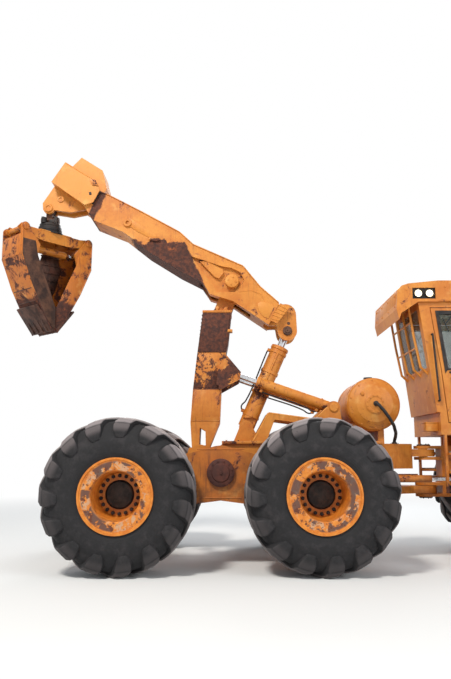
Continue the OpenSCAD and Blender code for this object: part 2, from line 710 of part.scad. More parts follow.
module front_frame() {
  color(yellow) place() {
    front_clevis(upper_ear_z);
    front_clevis(lower_ear_z);
    translate([art_x + 200, -135, lower_ear_z - ear_t / 2 - 45])
      cube([60, 270, upper_ear_z - lower_ear_z + ear_t + 90]);
    translate([art_x + 255, -200, front_z0]) cube([150, 400, front_z1 - front_z0 - 56]);
    plates(in_w, half_w) polygon([[3330, 870], [3330, front_z1], [5600, front_z1], [5600, front_z0],
      [wheelbase - 250, front_z0], [wheelbase - 370, 870]]);
    translate([3330, -in_w, 870]) cube([40, 2 * in_w, front_z1 - 870]);
    translate([3200, -200, front_z0]) cube([140, 400, 350]);
    translate([5560, -in_w, front_z0]) cube([40, 2 * in_w, front_z1 - front_z0]);
    translate([3370, -in_w, 870]) cube([wheelbase - 370 - 3370, 2 * in_w, 20]);
    translate([wheelbase + 370, -in_w, front_z0]) cube([5560 - wheelbase - 370, 2 * in_w, 20]);
    // Ears of the steering rods
    for (s = [-1, 1], z = [steer_z - 62, steer_z + 42]) translate([0, 0, z]) linear_extrude(20)
      polygon([[3335, s * 220], [3150, s * 260], [3150, s * 395], [3335, s * half_w]]);
    // Pedestal of the cab
    for (y = [-400, 360]) translate([3200, y, front_z1 - 70]) cube([750, 40, cab_z0 - seat_gap - front_z1 + 70]);
    // Engine bearers
    for (x = [4380, 5120]) translate([x, -in_w - 5, 1330]) cube([90, 2 * in_w + 10, 70 - seat_gap]);
    // Ears of the blade's arms and cylinders
    plates(half_w, half_w + 40) polygon([[5000, 1150], [5060, 700], [5240, 700], [5400, 1150], [5420, 1500], [5200, 1500]]);
    for (s = [-1, 1]) bar_y(blade_pivot, 45, s > 0 ? half_w + 40 : -half_w - 140, s > 0 ? half_w + 140 : -half_w - 40);
    for (s = [-1, 1]) bar_y(blade_cyl_base, 35, s > 0 ? half_w + 40 : -half_w - 140, s > 0 ? half_w + 140 : -half_w - 40);
  }
}

module front_axle() {
  color(rust) place() translate([wheelbase, 0, wheel_z]) {
    rotate([90, 0, 0]) translate([0, 0, -880]) cylinder(r = axle_r, h = 1760);
    rotate([0, 90, 0]) rotate_extrude($fn = 40)
      polygon([[0, -300], [150, -260], [230, -60], [230, 60], [150, 200], [0, 230]]);
    for (s = [-1, 1]) rotate([90, 0, 0]) translate([0, 0, s > 0 ? 880 : -half_track + 40])
      cylinder(r = spindle_r, h = half_track - 40 - 880);
    for (s = [-1, 1]) translate([-90, s * 330 - 50, 100]) cube([180, 100, front_z0 - wheel_z - 100 + 35]);
  }
}

module engine() {
  color(rust) place() translate([4300, -300, 1400]) cube([1000, 600, 780]);
}

hood_w = 1040;
hood_x0 = 4130;
hood_x1 = 5600;
hood_z = 2330;
hood_hinges = [4400, 5220];
hood_hinge_y = hood_w / 2 + 16;
hood_hinge_z = 2200;
// Sill of the side openings: a door as long as this still swings past the front tyre
hood_door_z = 1750;

module hood() {
  color(yellow) place() {
    difference() {
      plate(-hood_w / 2, hood_w / 2) polygon([[hood_x0, front_z1 + seat_gap], [hood_x0, 2420], [hood_x0 + 120, 2440],
        [hood_x1 - 100, hood_z], [hood_x1, hood_z - 60], [hood_x1, front_z1 + seat_gap]]);
      plate(-hood_w / 2 + 30, hood_w / 2 - 30) polygon([[hood_x0 + 30, front_z1 - 1], [hood_x0 + 30, 2390],
        [hood_x0 + 130, 2405], [hood_x1 - 120, hood_z - 32], [hood_x1 - 30, hood_z - 90], [hood_x1 - 30, front_z1 - 1]]);
      translate([hood_x1 - 60, -400, 1640]) cube([100, 800, 560]);
      translate([4250, -hood_w / 2 - 1, hood_door_z]) cube([1200, hood_w + 2, hood_hinge_z - hood_door_z]);
      translate([4800, 250, 2300]) cylinder(r = 75, h = 300);
    }
    // Hinges of the side doors
    for (s = [-1, 1], x = hood_hinges) translate([x, s * hood_hinge_y, hood_hinge_z]) rotate([0, 90, 0]) {
      cylinder(r = 6, h = 80);
      for (h = [0, 68]) translate([0, 0, h]) cylinder(r = 14, h = 12);
    }
    for (s = [-1, 1], x = hood_hinges, h = [0, 68])
      translate([x + h, s > 0 ? hood_w / 2 - 4 : -hood_hinge_y - 14, hood_hinge_z]) cube([12, 34, 40]);
  }
}

module grille() {
  color(dark) place() {
    translate([hood_x1 - 28, -400 + seat_gap, 1640 + seat_gap]) difference() {
      cube([20, 800 - 2 * seat_gap, 560 - 2 * seat_gap]);
      for (k = [0 : 8]) translate([-1, 40, 39 + 56 * k]) cube([22, 719, 30]);
    }
  }
}

module hood_door(side) {
  y0 = side > 0 ? hood_w / 2 - 26 : -hood_w / 2 + 2;
  color(yellow) place() {
    translate([4256, y0, hood_door_z + 6]) difference() {
      cube([1188, 24, hood_hinge_z - hood_door_z - 18]);
      for (k = [0 : 4]) translate([240, -1, 60 + 68 * k]) cube([700, 26, 28]);
    }
    for (x = hood_hinges) difference() {
      union() {
        translate([x + 13, side * hood_hinge_y, hood_hinge_z]) rotate([0, 90, 0]) cylinder(r = 14, h = 54);
        translate([x + 13, side > 0 ? hood_w / 2 - 4 : -hood_hinge_y - 6, hood_hinge_z - 60]) cube([54, 26, 60]);
      }
      translate([x, side * hood_hinge_y, hood_hinge_z]) rotate([0, 90, 0]) cylinder(r = 6 + run, h = 80);
    }
  }
}

module exhaust() {
  color(rust) place() translate([4800, 250, 0]) {
    translate([0, 0, 2180 + seat_gap]) cylinder(r = 50, h = 210);
    translate([0, 0, 2382]) cylinder(r = 72, h = 480);
    translate([0, 0, 2862]) cylinder(r = 42, h = 330);
  }
}

// Cab

cab_h = cab_w / 2;
cab_x1 = 4100;
eave_z = 3400;
door_hinges = [2050, 2900];
door_hinge_x = 3905;
door_hinge_y = cab_h + 16;

module cab_shell() {
  color(yellow) place() difference() {
    union() {
      plate(-cab_h, cab_h) polygon([[2820, 1930], [2760, 2450], [2640, eave_z], [4060, eave_z], [cab_x1, 2500],
        [cab_x1, cab_z0], [2860, cab_z0], [2860, 1930]]);
    }
    plate(-cab_h + cab_t, cab_h - cab_t) polygon([[2920, 1760], [2870, 1960], [2812, 2450], [2692, eave_z + 1], [4008, eave_z + 1],
      [cab_x1 - 50, 2500], [cab_x1 - 50, 1760]]);
    // Rear and front windows
    translate([2500, -cab_h + 120, 2530]) cube([600, cab_w - 240, 790]);
    translate([3900, -cab_h + 120, 2560]) cube([400, cab_w - 240, 760]);
    // Door openings
    plate(-cab_h - 1, cab_h + 1) polygon([[2960, 1790], [2900, 2480], [2790, 3330], [3880, 3330], [3900, 2500], [3900, 1790]]);
  }
  // Hinges of the doors
  color(yellow) place() for (s = [-1, 1], z = door_hinges) {
    translate([door_hinge_x, s * door_hinge_y, z]) cylinder(r = 6, h = 80);
    for (h = [0, 68]) translate([door_hinge_x, s * door_hinge_y, z + h]) cylinder(r = 14, h = 12);
    for (h = [0, 68]) translate([door_hinge_x, s > 0 ? cab_h - 4 : -door_hinge_y - 14, z + h]) cube([40, 34, 12]);
  }
}

roof_outline = [[2340, 3300], [2370, 3160], [2405, 3250], [2580, 3365], [2636, eave_z + seat_gap], [4060, eave_z + seat_gap], [4180, 3440],
  [4160, 3600], [4060, 3690], [2910, 3690], [2510, 3650], [2420, 3620], [2360, 3560]];

roof_hollow = [[2380, 3330], [2450, 3330], [2570, 3405], [2640, 3430], [4050, 3430], [4130, 3465], [4115, 3585],
  [4040, 3655], [2915, 3655], [2520, 3617], [2450, 3590], [2395, 3540]];

module cab_roof() {
  color(yellow) place() difference() {
    plate(-680, 680) polygon(roof_outline);
    plate(-640, 640) polygon(roof_hollow);
    for (s = [-1, 1]) translate([2560, s > 0 ? 655 : -681, 3440]) cube([310, 26, 150]);
  }
}

module roof_lamps() {
  color(dark) place() for (s = [-1, 1], x = [2640, 2790])
    translate([x, s > 0 ? 655 + seat_gap : -677, 3515]) rotate([-90, 0, 0]) cylinder(r = 55, h = 22 - seat_gap);
}

module cab_glass() {
  color([0.4, 0.5, 0.45, 0.4]) place() {
    plate(-cab_h + 120 + seat_gap, cab_h - 120 - seat_gap) {
      polygon([[2760, 2530 + seat_gap], [2768, 2530 + seat_gap], [2668, 3320 - seat_gap], [2660, 3320 - seat_gap]]);
      polygon([[4070, 2560 + seat_gap], [4078, 2560 + seat_gap], [4045, 3320 - seat_gap], [4037, 3320 - seat_gap]]);
    }
  }
}

module seat() {
  color(dark) place() {
    translate([3200, -230, 2060]) cube([460, 460, 110]);
    translate([3120, -220, 2100]) rotate([0, -8, 0]) cube([90, 440, 620]);
    translate([3330, -110, 1760 + seat_gap]) cube([220, 220, 302]);
  }
}

module console() {
  color(dark) place() {
    translate([3820, -180, 1760 + seat_gap]) cube([180, 360, 620]);
    translate([3860, 0, 2260]) rotate([0, -60, 0]) cylinder(r = 22, h = 280);
    for (s = [-1, 1]) translate([3200, s > 0 ? 270 : -390, 1760 + seat_gap]) cube([500, 120, 430]);
  }
}

door_outline = [[2972, 1800], [2912, 2480], [2802, 3320], [3870, 3320], [3890, 2500], [3890, 1800]];
door_pane = [[2995, 2500], [2900, 3240], [3800, 3240], [3815, 2500]];
low_pane = [[3040, 1900], [3030, 2380], [3815, 2380], [3815, 1900]];

module door(side) {
  color(yellow) place() difference() {
    plate(side > 0 ? cab_h - 40 : -cab_h + 5, side > 0 ? cab_h - 5 : -cab_h + 40) difference() {
      polygon(door_outline);
      polygon(door_pane);
      polygon(low_pane);
    }
  }
  color(yellow) place() for (z = door_hinges) difference() {
    union() {
      translate([door_hinge_x, side * door_hinge_y, z + 13]) cylinder(r = 14, h = 54);
      translate([door_hinge_x - 60, side > 0 ? cab_h + 1 : -door_hinge_y - 6, z + 13]) cube([60, 21, 54]);
      translate([door_hinge_x - 60, side > 0 ? cab_h - 7 : -cab_h - 2, z + 13]) cube([30, 9, 54]);
    }
    translate([door_hinge_x, side * door_hinge_y, z]) cylinder(r = 6 + run, h = 80);
  }
}

module door_glass(side) {
  y0 = side > 0 ? cab_h - 26 : -cab_h + 18;
  color([0.4, 0.5, 0.45, 0.4]) place() {
    plate(y0, y0 + 8) polygon(inset(door_pane, seat_gap));
    plate(y0, y0 + 8) polygon(inset(low_pane, seat_gap));
  }
}

module steps() {
  color(yellow) place() for (s = [-1, 1]) {
    for (x = [2900, 3240]) translate([x, s > 0 ? cab_h - 60 : -cab_h, 900]) cube([30, 60, cab_z0 - seat_gap - 900]);
    for (z = [920, 1150, 1380]) translate([2930, s > 0 ? cab_h - 60 : -cab_h - 60, z]) cube([310, 120, 30]);
  }
}

// Blade

blade_rod_r = 25;

module blade() {
  color(yellow) place() {
    plate(-1250, 1250) polygon([[6010, 410], [6075, 470], [blade_x1, 650], [blade_x1, 970], [6085, 1140], [6055, 1135],
      [6080, 970], [6080, 655], [6040, 490], [5990, 435]]);
    plates(half_w + 60, half_w + 120) difference() {
      union() {
        strap(blade_pivot, [5980, 610], 100, 75);
        polygon([[5980, 540], [6050, 540], [6085, 750], [6080, 950], [5985, 750]]);
      }
      translate(blade_pivot) circle(45 + run);
    }
    // Ears of the cylinders' rods
    for (y = [half_w + 46, half_w + 119]) plates(y, y + 15) strap([5960, 640], blade_cyl_eye, 80, 60);
    bar_y([5700, 660], 60, -half_w - 70, half_w + 70);
  }
}

module blade_barrels() {
  color(yellow) place() for (s = [-1, 1]) difference() {
    union() {
      bar_y(blade_cyl_base, 60, s * (half_w + 90) - 30, s * (half_w + 90) + 30);
      bar_xz(blade_cyl_base, along(blade_cyl_base, blade_cyl_eye, 520), 50, s * (half_w + 90));
    }
    bar_y(blade_cyl_base, 35 + run, s * (half_w + 90) - 60, s * (half_w + 90) + 60);
    bar_xz(along(blade_cyl_base, blade_cyl_eye, 100), blade_cyl_eye, blade_rod_r + run, s * (half_w + 90));
  }
}

module blade_rods() {
  color(steel) place() for (s = [-1, 1]) {
    bar_xz(along(blade_cyl_base, blade_cyl_eye, 190), along(blade_cyl_eye, blade_cyl_base, 25), blade_rod_r, s * (half_w + 90));
    bar_y(blade_cyl_eye, 40, s * (half_w + 90) - 18, s * (half_w + 90) + 18);
  }
}

rear_frame();
rear_axle();
bogie(-1);  // bogie_right
bogie(1);  // bogie_left
tank();
tank_hose();
at_hub(0) tyre();  // tyre_rr
at_wheel(0) rim();  // rim_rr
at_hub(1) tyre();  // tyre_rl
at_wheel(1) rim();  // rim_rl
at_hub(2) tyre();  // tyre_mr
at_wheel(2) rim();  // rim_mr
at_hub(3) tyre();  // tyre_ml
at_wheel(3) rim();  // rim_ml
at_hub(4) tyre();  // tyre_fr
at_wheel(4) rim();  // rim_fr
at_hub(5) tyre();  // tyre_fl
at_wheel(5) rim();  // rim_fl
front_frame();
front_axle();
engine();
hood();
grille();
hood_door(-1);  // hood_door_right
hood_door(1);  // hood_door_left
exhaust();
cab_shell();
cab_roof();
cab_glass();
roof_lamps();
seat();
console();
door(-1);  // door_right
door_glass(-1);  // door_glass_right
door(1);  // door_left
door_glass(1);  // door_glass_left
steps();
mast();
boom();
boom_head();
hang_link();
swivel_block();
rotator();
grapple_head();
tong_left();
tong_right();
grab_barrel();
grab_rod();
tilt_barrels();
tilt_rods();
boom_barrel();
boom_rod();
steer_barrel(-1);  // steer_barrel_right
steer_rod(-1);  // steer_rod_right
steer_barrel(1);  // steer_barrel_left
steer_rod(1);  // steer_rod_left
blade();
blade_barrels();
blade_rods();
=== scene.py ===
# %% [markdown]
# A six-wheeled grapple skidder: an old yellow machine that drags logs out of a wood.
# The CAD model is loaded first as a fixed frame. Blender then adds what a solid model leaves
# plain: tread lugs, nuts, hoses, lamps, a padded seat, and paint that has faded, chipped and rusted.

# %% Load the CAD frame
import math

import bmesh
import bpy
from mathutils import Matrix, Vector


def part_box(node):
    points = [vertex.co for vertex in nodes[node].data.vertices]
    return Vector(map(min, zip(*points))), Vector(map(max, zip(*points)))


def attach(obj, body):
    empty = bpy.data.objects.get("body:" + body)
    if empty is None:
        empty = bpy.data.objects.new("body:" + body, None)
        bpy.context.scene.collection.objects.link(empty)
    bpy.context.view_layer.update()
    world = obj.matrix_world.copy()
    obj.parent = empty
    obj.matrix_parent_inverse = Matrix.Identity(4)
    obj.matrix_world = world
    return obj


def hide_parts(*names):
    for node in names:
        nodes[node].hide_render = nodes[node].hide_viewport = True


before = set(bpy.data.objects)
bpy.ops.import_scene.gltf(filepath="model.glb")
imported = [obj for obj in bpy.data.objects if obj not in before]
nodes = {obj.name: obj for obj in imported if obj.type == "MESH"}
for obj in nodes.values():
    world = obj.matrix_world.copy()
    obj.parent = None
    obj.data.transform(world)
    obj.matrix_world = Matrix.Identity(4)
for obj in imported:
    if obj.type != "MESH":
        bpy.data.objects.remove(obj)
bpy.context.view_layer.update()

# %% [markdown]
# Places are worked out from the frame, so a piece goes where the CAD says. A side view of the
# machine is easiest to think of from the line on which the bogies rock. In that view a point is
# a pair: how far ahead of the line, and how high. The helper turns it into the frame's place.

# %% Places taken from the frame
def middle(node):
    low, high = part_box(node)
    return (Vector(low) + Vector(high)) / 2


def span(node, axis):
    low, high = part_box(node)
    return low[axis], high[axis]


hubs = {side: middle("rim_" + side) for side in ("rr", "rl", "mr", "ml", "fr", "fl")}
bogie_x = (hubs["rr"].x + hubs["mr"].x) / 2
tyre_low, tyre_high = span("tyre_rr", 2)
tyre_radius = (tyre_high - tyre_low) / 2
hub_z = hubs["rr"].z
front_axle_x = hubs["fr"].x - bogie_x
both_sides = (-1, 1)
named_sides = (("right", -1), ("left", 1))


def at(x, z, y=0.0):
    """A place x ahead of the bogies' pivot line, z above the ground and y to the left."""
    return Vector((bogie_x + x, y, z))


print("bogie line at x", round(bogie_x, 4), "tyre radius", round(tyre_radius, 4))

# %% [markdown]
# The camera stands where the photographer stood: on the machine's right, a little above the
# wheel tops, looking slightly up. The lens comes from the size of the wheels in the picture.

# %% Camera
camera_data = bpy.data.cameras.new("camera")
camera_data.sensor_fit = "AUTO"
camera_data.sensor_width = 36.0
picture_height, focal_pixels = 679, 676
eye_height, eye_distance = 1.38, 9.5
camera_data.lens = camera_data.sensor_width * focal_pixels / picture_height
camera = bpy.data.objects.new("camera", camera_data)
camera.location = at(0.10, eye_height, -eye_distance)
camera_pitch = math.radians(9.7)
camera_yaw = math.radians(0.263)
camera.rotation_euler = (math.radians(90) + camera_pitch, 0, camera_yaw)
bpy.context.scene.collection.objects.link(camera)
bpy.context.scene.camera = camera
print("lens", round(camera_data.lens, 2), "mm")

# %% [markdown]
# Every piece is built in a bmesh. A few helpers do what repeats: a slab is a flat outline pushed
# to a thickness, a rod joins two points, a turned piece is a profile spun round an axle, and
# bolts are many small heads in one mesh. Edges get a small bevel, because no real edge is sharp.

# %% Helpers that finish a piece
def placed(name, data, body):
    """Puts a mesh or a curve in the scene as an object that rides on a body."""
    made = bpy.data.objects.new(name, data)
    bpy.context.scene.collection.objects.link(made)
    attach(made, body)
    return made


def soften(bm, width=0.003, steps=2, angle=30):
    """Bevels every edge sharper than the angle."""
    limit = math.radians(angle)
    sharp = [e for e in bm.edges if len(e.link_faces) == 2 and e.calc_face_angle(0) > limit]
    bmesh.ops.bevel(bm, geom=sharp, offset=width, segments=steps, profile=0.5, affect="EDGES",
                    offset_type="OFFSET", material=-1, clamp_overlap=True)


def piece(name, shape, finish, body, smooth=35):
    """Closes one bmesh, or a list of them, into one object."""
    bm = joined(shape) if isinstance(shape, list) else shape
    bmesh.ops.remove_doubles(bm, verts=bm.verts, dist=0.00002)
    bmesh.ops.recalc_face_normals(bm, faces=bm.faces)
    mesh = bpy.data.meshes.new(name)
    bm.to_mesh(mesh)
    bm.free()
    mesh.materials.append(finish)
    mesh.shade_smooth()
    mesh.set_sharp_from_angle(angle=math.radians(smooth))
    return placed(name, mesh, body)


def join(bm, other):
    """Adds another bmesh to this one and frees it."""
    spare = bpy.data.meshes.new("spare")
    other.to_mesh(spare)
    other.free()
    bm.from_mesh(spare)
    bpy.data.meshes.remove(spare)


def joined(shapes):
    """One bmesh made of several, which are freed."""
    whole = bmesh.new()
    for shape in shapes:
        join(whole, shape)
    return whole


# %% Helpers that make a shape
def slab(outline, y0, y1, bevel=0.003):
    """A plate whose outline is drawn in the side view."""
    bm = bmesh.new()
    corners = [bm.verts.new(at(x, z, y0)) for x, z in outline]
    face = bm.faces.new(corners)
    pushed = bmesh.ops.extrude_face_region(bm, geom=[face])
    moved = [v for v in pushed["geom"] if isinstance(v, bmesh.types.BMVert)]
    bmesh.ops.translate(bm, verts=moved, vec=(0, y1 - y0, 0))
    bmesh.ops.recalc_face_normals(bm, faces=bm.faces)
    if bevel:
        soften(bm, bevel)
    return bm


def block(low, high, bevel=0.004, steps=2):
    """A box between two corners, with rounded edges."""
    bm = bmesh.new()
    low, high = Vector(low), Vector(high)
    size = high - low
    place = Matrix.Translation((low + high) / 2) @ Matrix.Diagonal((*size, 1))
    bmesh.ops.create_cube(bm, size=1, matrix=place)
    if bevel:
        soften(bm, bevel, steps)
    return bm


def aim(start, end):
    """The matrix that lays a thing made along Z between two points."""
    line = Vector(end) - Vector(start)
    turn = line.to_track_quat("Z", "Y").to_matrix().to_4x4()
    return Matrix.Translation((Vector(start) + Vector(end)) / 2) @ turn


def rod(start, end, radius, sides=32, bevel=0.002):
    """A round bar between two points."""
    bm = bmesh.new()
    length = (Vector(end) - Vector(start)).length
    bmesh.ops.create_cone(bm, cap_ends=True, cap_tris=False, segments=sides, radius1=radius,
                          radius2=radius, depth=length, matrix=aim(start, end))
    if bevel:
        soften(bm, bevel, 2, 50)
    return bm


def turned(profile, centre, axis, sides):
    """A closed profile of (distance along the axis, radius) spun round the axis."""
    bm = bmesh.new()
    axis = Vector(axis).normalized()
    side = axis.orthogonal().normalized()
    centre = Vector(centre)
    corners = [bm.verts.new(centre + axis * along + side * radius) for along, radius in profile]
    edges = [bm.edges.new(pair) for pair in zip(corners, corners[1:] + corners[:1])]
    bmesh.ops.spin(bm, geom=corners + edges, cent=centre, axis=axis, angle=math.tau, steps=sides,
                   use_merge=True, use_duplicate=False)
    bmesh.ops.remove_doubles(bm, verts=bm.verts, dist=0.00001)
    bmesh.ops.recalc_face_normals(bm, faces=bm.faces)
    return bm


def cap(profile, centre, axis, sides):
    """A turned piece with a flat back, and a flat front if its profile stops short of the axis."""
    back, (front, front_radius) = profile[0][0], profile[-1]
    face = [(front, 0.0)] if front_radius else []
    return turned([(back, 0.0)] + profile + face, centre, axis, sides)


def ring(inner, outer, height, centre, axis, sides=32):
    """A plain ring that rises from the centre along the axis."""
    return turned([(0.0, inner), (0.0, outer), (height, outer), (height, inner)], centre, axis, sides)


def chain(places, radius, sides=16, detail=2, ball_at_end=False):
    """Round bars end to end through the places, with a ball at every bend."""
    bm = joined(rod(start, end, radius, sides, 0) for start, end in zip(places, places[1:]))
    for place in places[1:] if ball_at_end else places[1:-1]:
        bend = Matrix.Translation(place)
        bmesh.ops.create_icosphere(bm, subdivisions=detail, radius=radius, matrix=bend)
    return bm


def bolts(places, axis, radius, height, sides=6):
    """Heads of bolts that stand on a surface, all in one bmesh."""
    bm = bmesh.new()
    axis = Vector(axis).normalized()
    for place in places:
        place = Vector(place)
        join(bm, rod(place - axis * height * 0.2, place + axis * height, radius, sides, 0))
    soften(bm, radius * 0.12, 1, 50)
    return bm


def round_places(centre, axis, radius, count, start=0.0):
    """Points equally spaced on a circle round an axis."""
    axis = Vector(axis).normalized()
    side = axis.orthogonal().normalized()
    return [Vector(centre) + Matrix.Rotation(start + math.tau * k / count, 3, axis) @ (side * radius)
            for k in range(count)]


def bolt_circle(centre, axis, circle, count, radius, height, start=0.0):
    """A ring of bolts round a centre, all along the same axis."""
    return bolts(round_places(centre, axis, circle, count, start), axis, radius, height)


def tube(name, points, radius, finish, body, sides=4):
    """A bent pipe: one smooth curve through the points, with a round section."""
    data = bpy.data.curves.new(name, "CURVE")
    data.dimensions = "3D"
    data.bevel_depth = radius
    data.bevel_resolution = sides
    data.resolution_u = 8
    data.use_fill_caps = True
    spline = data.splines.new("BEZIER")
    spline.bezier_points.add(len(points) - 1)
    for knot, place in zip(spline.bezier_points, points):
        knot.co = place
        knot.handle_left_type = knot.handle_right_type = "AUTO"
    data.materials.append(finish)
    return placed(name, data, body)


print("helpers ready")

# %% [markdown]
# A finish is worked out from the place of each point on the object. Shader sums read badly as
# lists of nodes, so one small class wraps a socket and lets Python's own signs build the Math
# nodes: `1 - mask` or `noise * 0.3 + height` then say what they do.

# %% A socket that can be used in sums
class Value:
    """The output of a node. Sums with it add Math nodes."""

    def __init__(self, finish, socket):
        self.finish = finish
        self.socket = socket

    def sum_with(self, operation, first, second):
        return self.finish.add("ShaderNodeMath", {"operation": operation}, [first, second])

    def __add__(self, other):
        return self.sum_with("ADD", self, other)

    def __radd__(self, other):
        return self.sum_with("ADD", other, self)

    def __sub__(self, other):
        return self.sum_with("SUBTRACT", self, other)

    def __rsub__(self, other):
        return self.sum_with("SUBTRACT", other, self)

    def __mul__(self, other):
        return self.sum_with("MULTIPLY", self, other)

    def __pow__(self, other):
        return self.sum_with("POWER", self, other)

    def over(self, low, high):
        """0 below low, 1 above high, smooth between; low may be the greater one."""
        limits = {"Value": self, "From Min": low, "From Max": high, "To Min": 0.0, "To Max": 1.0}
        smooth = {"interpolation_type": "SMOOTHSTEP", "clamp": True}
        return self.finish.add("ShaderNodeMapRange", smooth, limits)

    def least(self, other):
        return self.sum_with("MINIMUM", self, other)

    def most(self, other):
        return self.sum_with("MAXIMUM", self, other)

    def wave(self):
        return self.sum_with("SINE", self, 0.0)


def rgb(red, green, blue):
    """A colour as a screen shows it, 0 to 255, in Blender's linear numbers."""
    return tuple((c / 255 / 12.92) if c / 255 <= 0.04045 else ((c / 255 + 0.055) / 1.055) ** 2.4
                 for c in (red, green, blue)) + (1.0,)


# %% A finish: one material and the ways to build it
class Finish:
    """A procedural material on Object coordinates, which are the machine's own metres."""

    def __init__(self, name, **settings):
        self.material = bpy.data.materials.new(name)
        self.material.use_nodes = True
        self.tree = self.material.node_tree
        self.shader = self.tree.nodes["Principled BSDF"]
        for socket, value in settings.items():
            self.shader.inputs[socket.replace("_", " ")].default_value = value
        where = self.tree.nodes.new("ShaderNodeTexCoord")
        self.place = Value(self, where.outputs["Object"])
        split = self.tree.nodes.new("ShaderNodeSeparateXYZ")
        self.tree.links.new(where.outputs["Object"], split.inputs[0])
        self.x, self.y, self.z = (Value(self, split.outputs[k]) for k in range(3))

    def plug(self, socket, value):
        if isinstance(value, Value):
            self.tree.links.new(value.socket, socket)
        else:
            socket.default_value = value

    def add(self, kind, settings=None, inputs=None):
        """Adds a node, sets its settings, then its sockets by name or in order."""
        node = self.tree.nodes.new(kind)
        for key, value in (settings or {}).items():
            setattr(node, key, value)
        if isinstance(inputs, dict):
            for key, value in inputs.items():
                self.plug(node.inputs[key], value)
        else:
            for socket, value in zip(node.inputs, inputs or []):
                self.plug(socket, value)
        return Value(self, node.outputs[0])

    def noise(self, scale, detail, roughness, stretch=(1, 1, 1), offset=(0, 0, 0), distortion=0.0):
        """Cloudy noise from 0 to 1. Stretch above 1 squeezes it along that axis."""
        moved = {"Vector": self.place, "Scale": stretch, "Location": offset}
        spot = self.add("ShaderNodeMapping", None, moved)
        return self.add("ShaderNodeTexNoise", None, {"Vector": spot, "Scale": scale, "Detail": detail,
                                                     "Roughness": roughness, "Distortion": distortion})

    def cells(self, scale):
        """Cell noise: distance to the nearest of many scattered points."""
        return self.add("ShaderNodeTexVoronoi", None, {"Vector": self.place, "Scale": scale})

    def mix(self, factor, first, second):
        """Goes from the first colour to the second as the factor goes from 0 to 1."""
        node = self.tree.nodes.new("ShaderNodeMix")
        node.data_type = "RGBA"
        self.plug(node.inputs["Factor"], factor)
        self.plug(node.inputs[6], first)
        self.plug(node.inputs[7], second)
        return Value(self, node.outputs[2])

    def done(self, colour, roughness, metallic=None, height=None, depth=0.01, strength=0.6, alpha=None):
        """Joins what varies to the shader and gives the material."""
        for key, value in (("Base Color", colour), ("Roughness", roughness), ("Metallic", metallic),
                           ("Alpha", alpha)):
            if value is not None:
                self.plug(self.shader.inputs[key], value)
        if height is not None:
            relief = {"Height": height, "Distance": depth, "Strength": strength}
            self.plug(self.shader.inputs["Normal"], self.add("ShaderNodeBump", None, relief))
        print("finish", self.material.name, len(self.tree.nodes), "nodes")
        return self.material


# %% [markdown]
# The paint is the main finish. It has faded from orange to a creamy yellow where the sun and
# the rain reach it, has brown stains that run down from edges, and is worn through to dark
# rust in patches. Each step lays one layer over the last one, as weather did.

# %% Colours of the machine
faded_yellow = rgb(208, 134, 48)
deep_yellow = rgb(186, 104, 24)
pale_yellow = rgb(224, 170, 92)
stain_brown = rgb(122, 64, 24)
rust_brown = rgb(98, 52, 34)
rust_orange = rgb(158, 84, 40)
dark_rust = rgb(56, 30, 24)


# %% The painted finish
def painted(name, wear, dirt=0.35, tone=0.5, bare_and_shade=None):
    """Old yellow paint. wear is the share of rust; the last argument is a mask where the paint is gone,
    which on the boom also holds painted shade.
    """
    f = Finish(name)
    clouds = f.noise(1.7, 5, 0.6)
    fine = f.noise(14, 6, 0.65, offset=(3, 1, 7))
    base = f.mix((clouds * 0.7 + fine * 0.3 + (tone - 0.5)).over(0.36, 0.66), deep_yellow, faded_yellow)
    blots = f.noise(5.5, 3, 0.5, offset=(9, 2, 4)).over(0.56, 0.78)
    base = f.mix(blots * 0.55, base, pale_yellow)
    runs = f.noise(7, 4, 0.6, stretch=(5, 5, 0.5), offset=(0, 6, 0))
    stains = runs.over(0.50, 0.74) * f.noise(2.1, 3, 0.5, offset=(5, 5, 1)).over(0.40, 0.68)
    base = f.mix(stains * (dirt * 1.5), base, stain_brown)
    specks = f.noise(60, 3, 0.7, offset=(2, 8, 5))
    patches = f.noise(3.4, 8, 0.72, offset=(7, 3, 2), distortion=0.6) + (specks - 0.5) * 0.16
    rust_and_shade = patches.over(0.70 - 0.22 * wear, 0.74 - 0.22 * wear)
    rim = patches.over(0.655 - 0.22 * wear, 0.72 - 0.22 * wear)
    # the extra mask is where the paint is gone; on the boom it also holds painted shade, and both take the
    # rust colours
    if bare_and_shade is not None:
        paint_gone_and_shade = bare_and_shade(f, patches)
        rust_and_shade = rust_and_shade.most(paint_gone_and_shade)
        rim = rim.most(paint_gone_and_shade)
    ore = f.mix(f.noise(22, 5, 0.7, offset=(1, 1, 8)).over(0.38, 0.66), dark_rust, rust_brown)
    ore = f.mix(f.noise(9, 4, 0.6, offset=(4, 7, 1)).over(0.62, 0.80), ore, rust_orange)
    base = f.mix(rim * 0.75, base, rust_orange)
    colour = f.mix(rust_and_shade, base, ore)
    grime = f.z.over(1.9, 0.7) * f.noise(4.5, 5, 0.65, offset=(8, 8, 2)).over(0.35, 0.75)
    colour = f.mix(grime * dirt, colour, dark_rust)
    roughness = 0.42 + fine * 0.22 + rust_and_shade * 0.32
    skin = fine * 0.12 + rust_and_shade * (f.noise(90, 4, 0.7) * 0.5 - 0.55) + specks * 0.05
    return f.done(colour, roughness, height=skin, depth=0.002, strength=0.55)


yellow_paint = painted("yellow_paint", wear=0.30)
chipped_paint = painted("chipped_paint", wear=0.62, dirt=0.5)
dirty_paint = painted("dirty_paint", wear=0.55, dirt=0.8, tone=0.4)
clean_paint = painted("clean_paint", wear=0.12, dirt=0.25, tone=0.6)
print("paints ready")

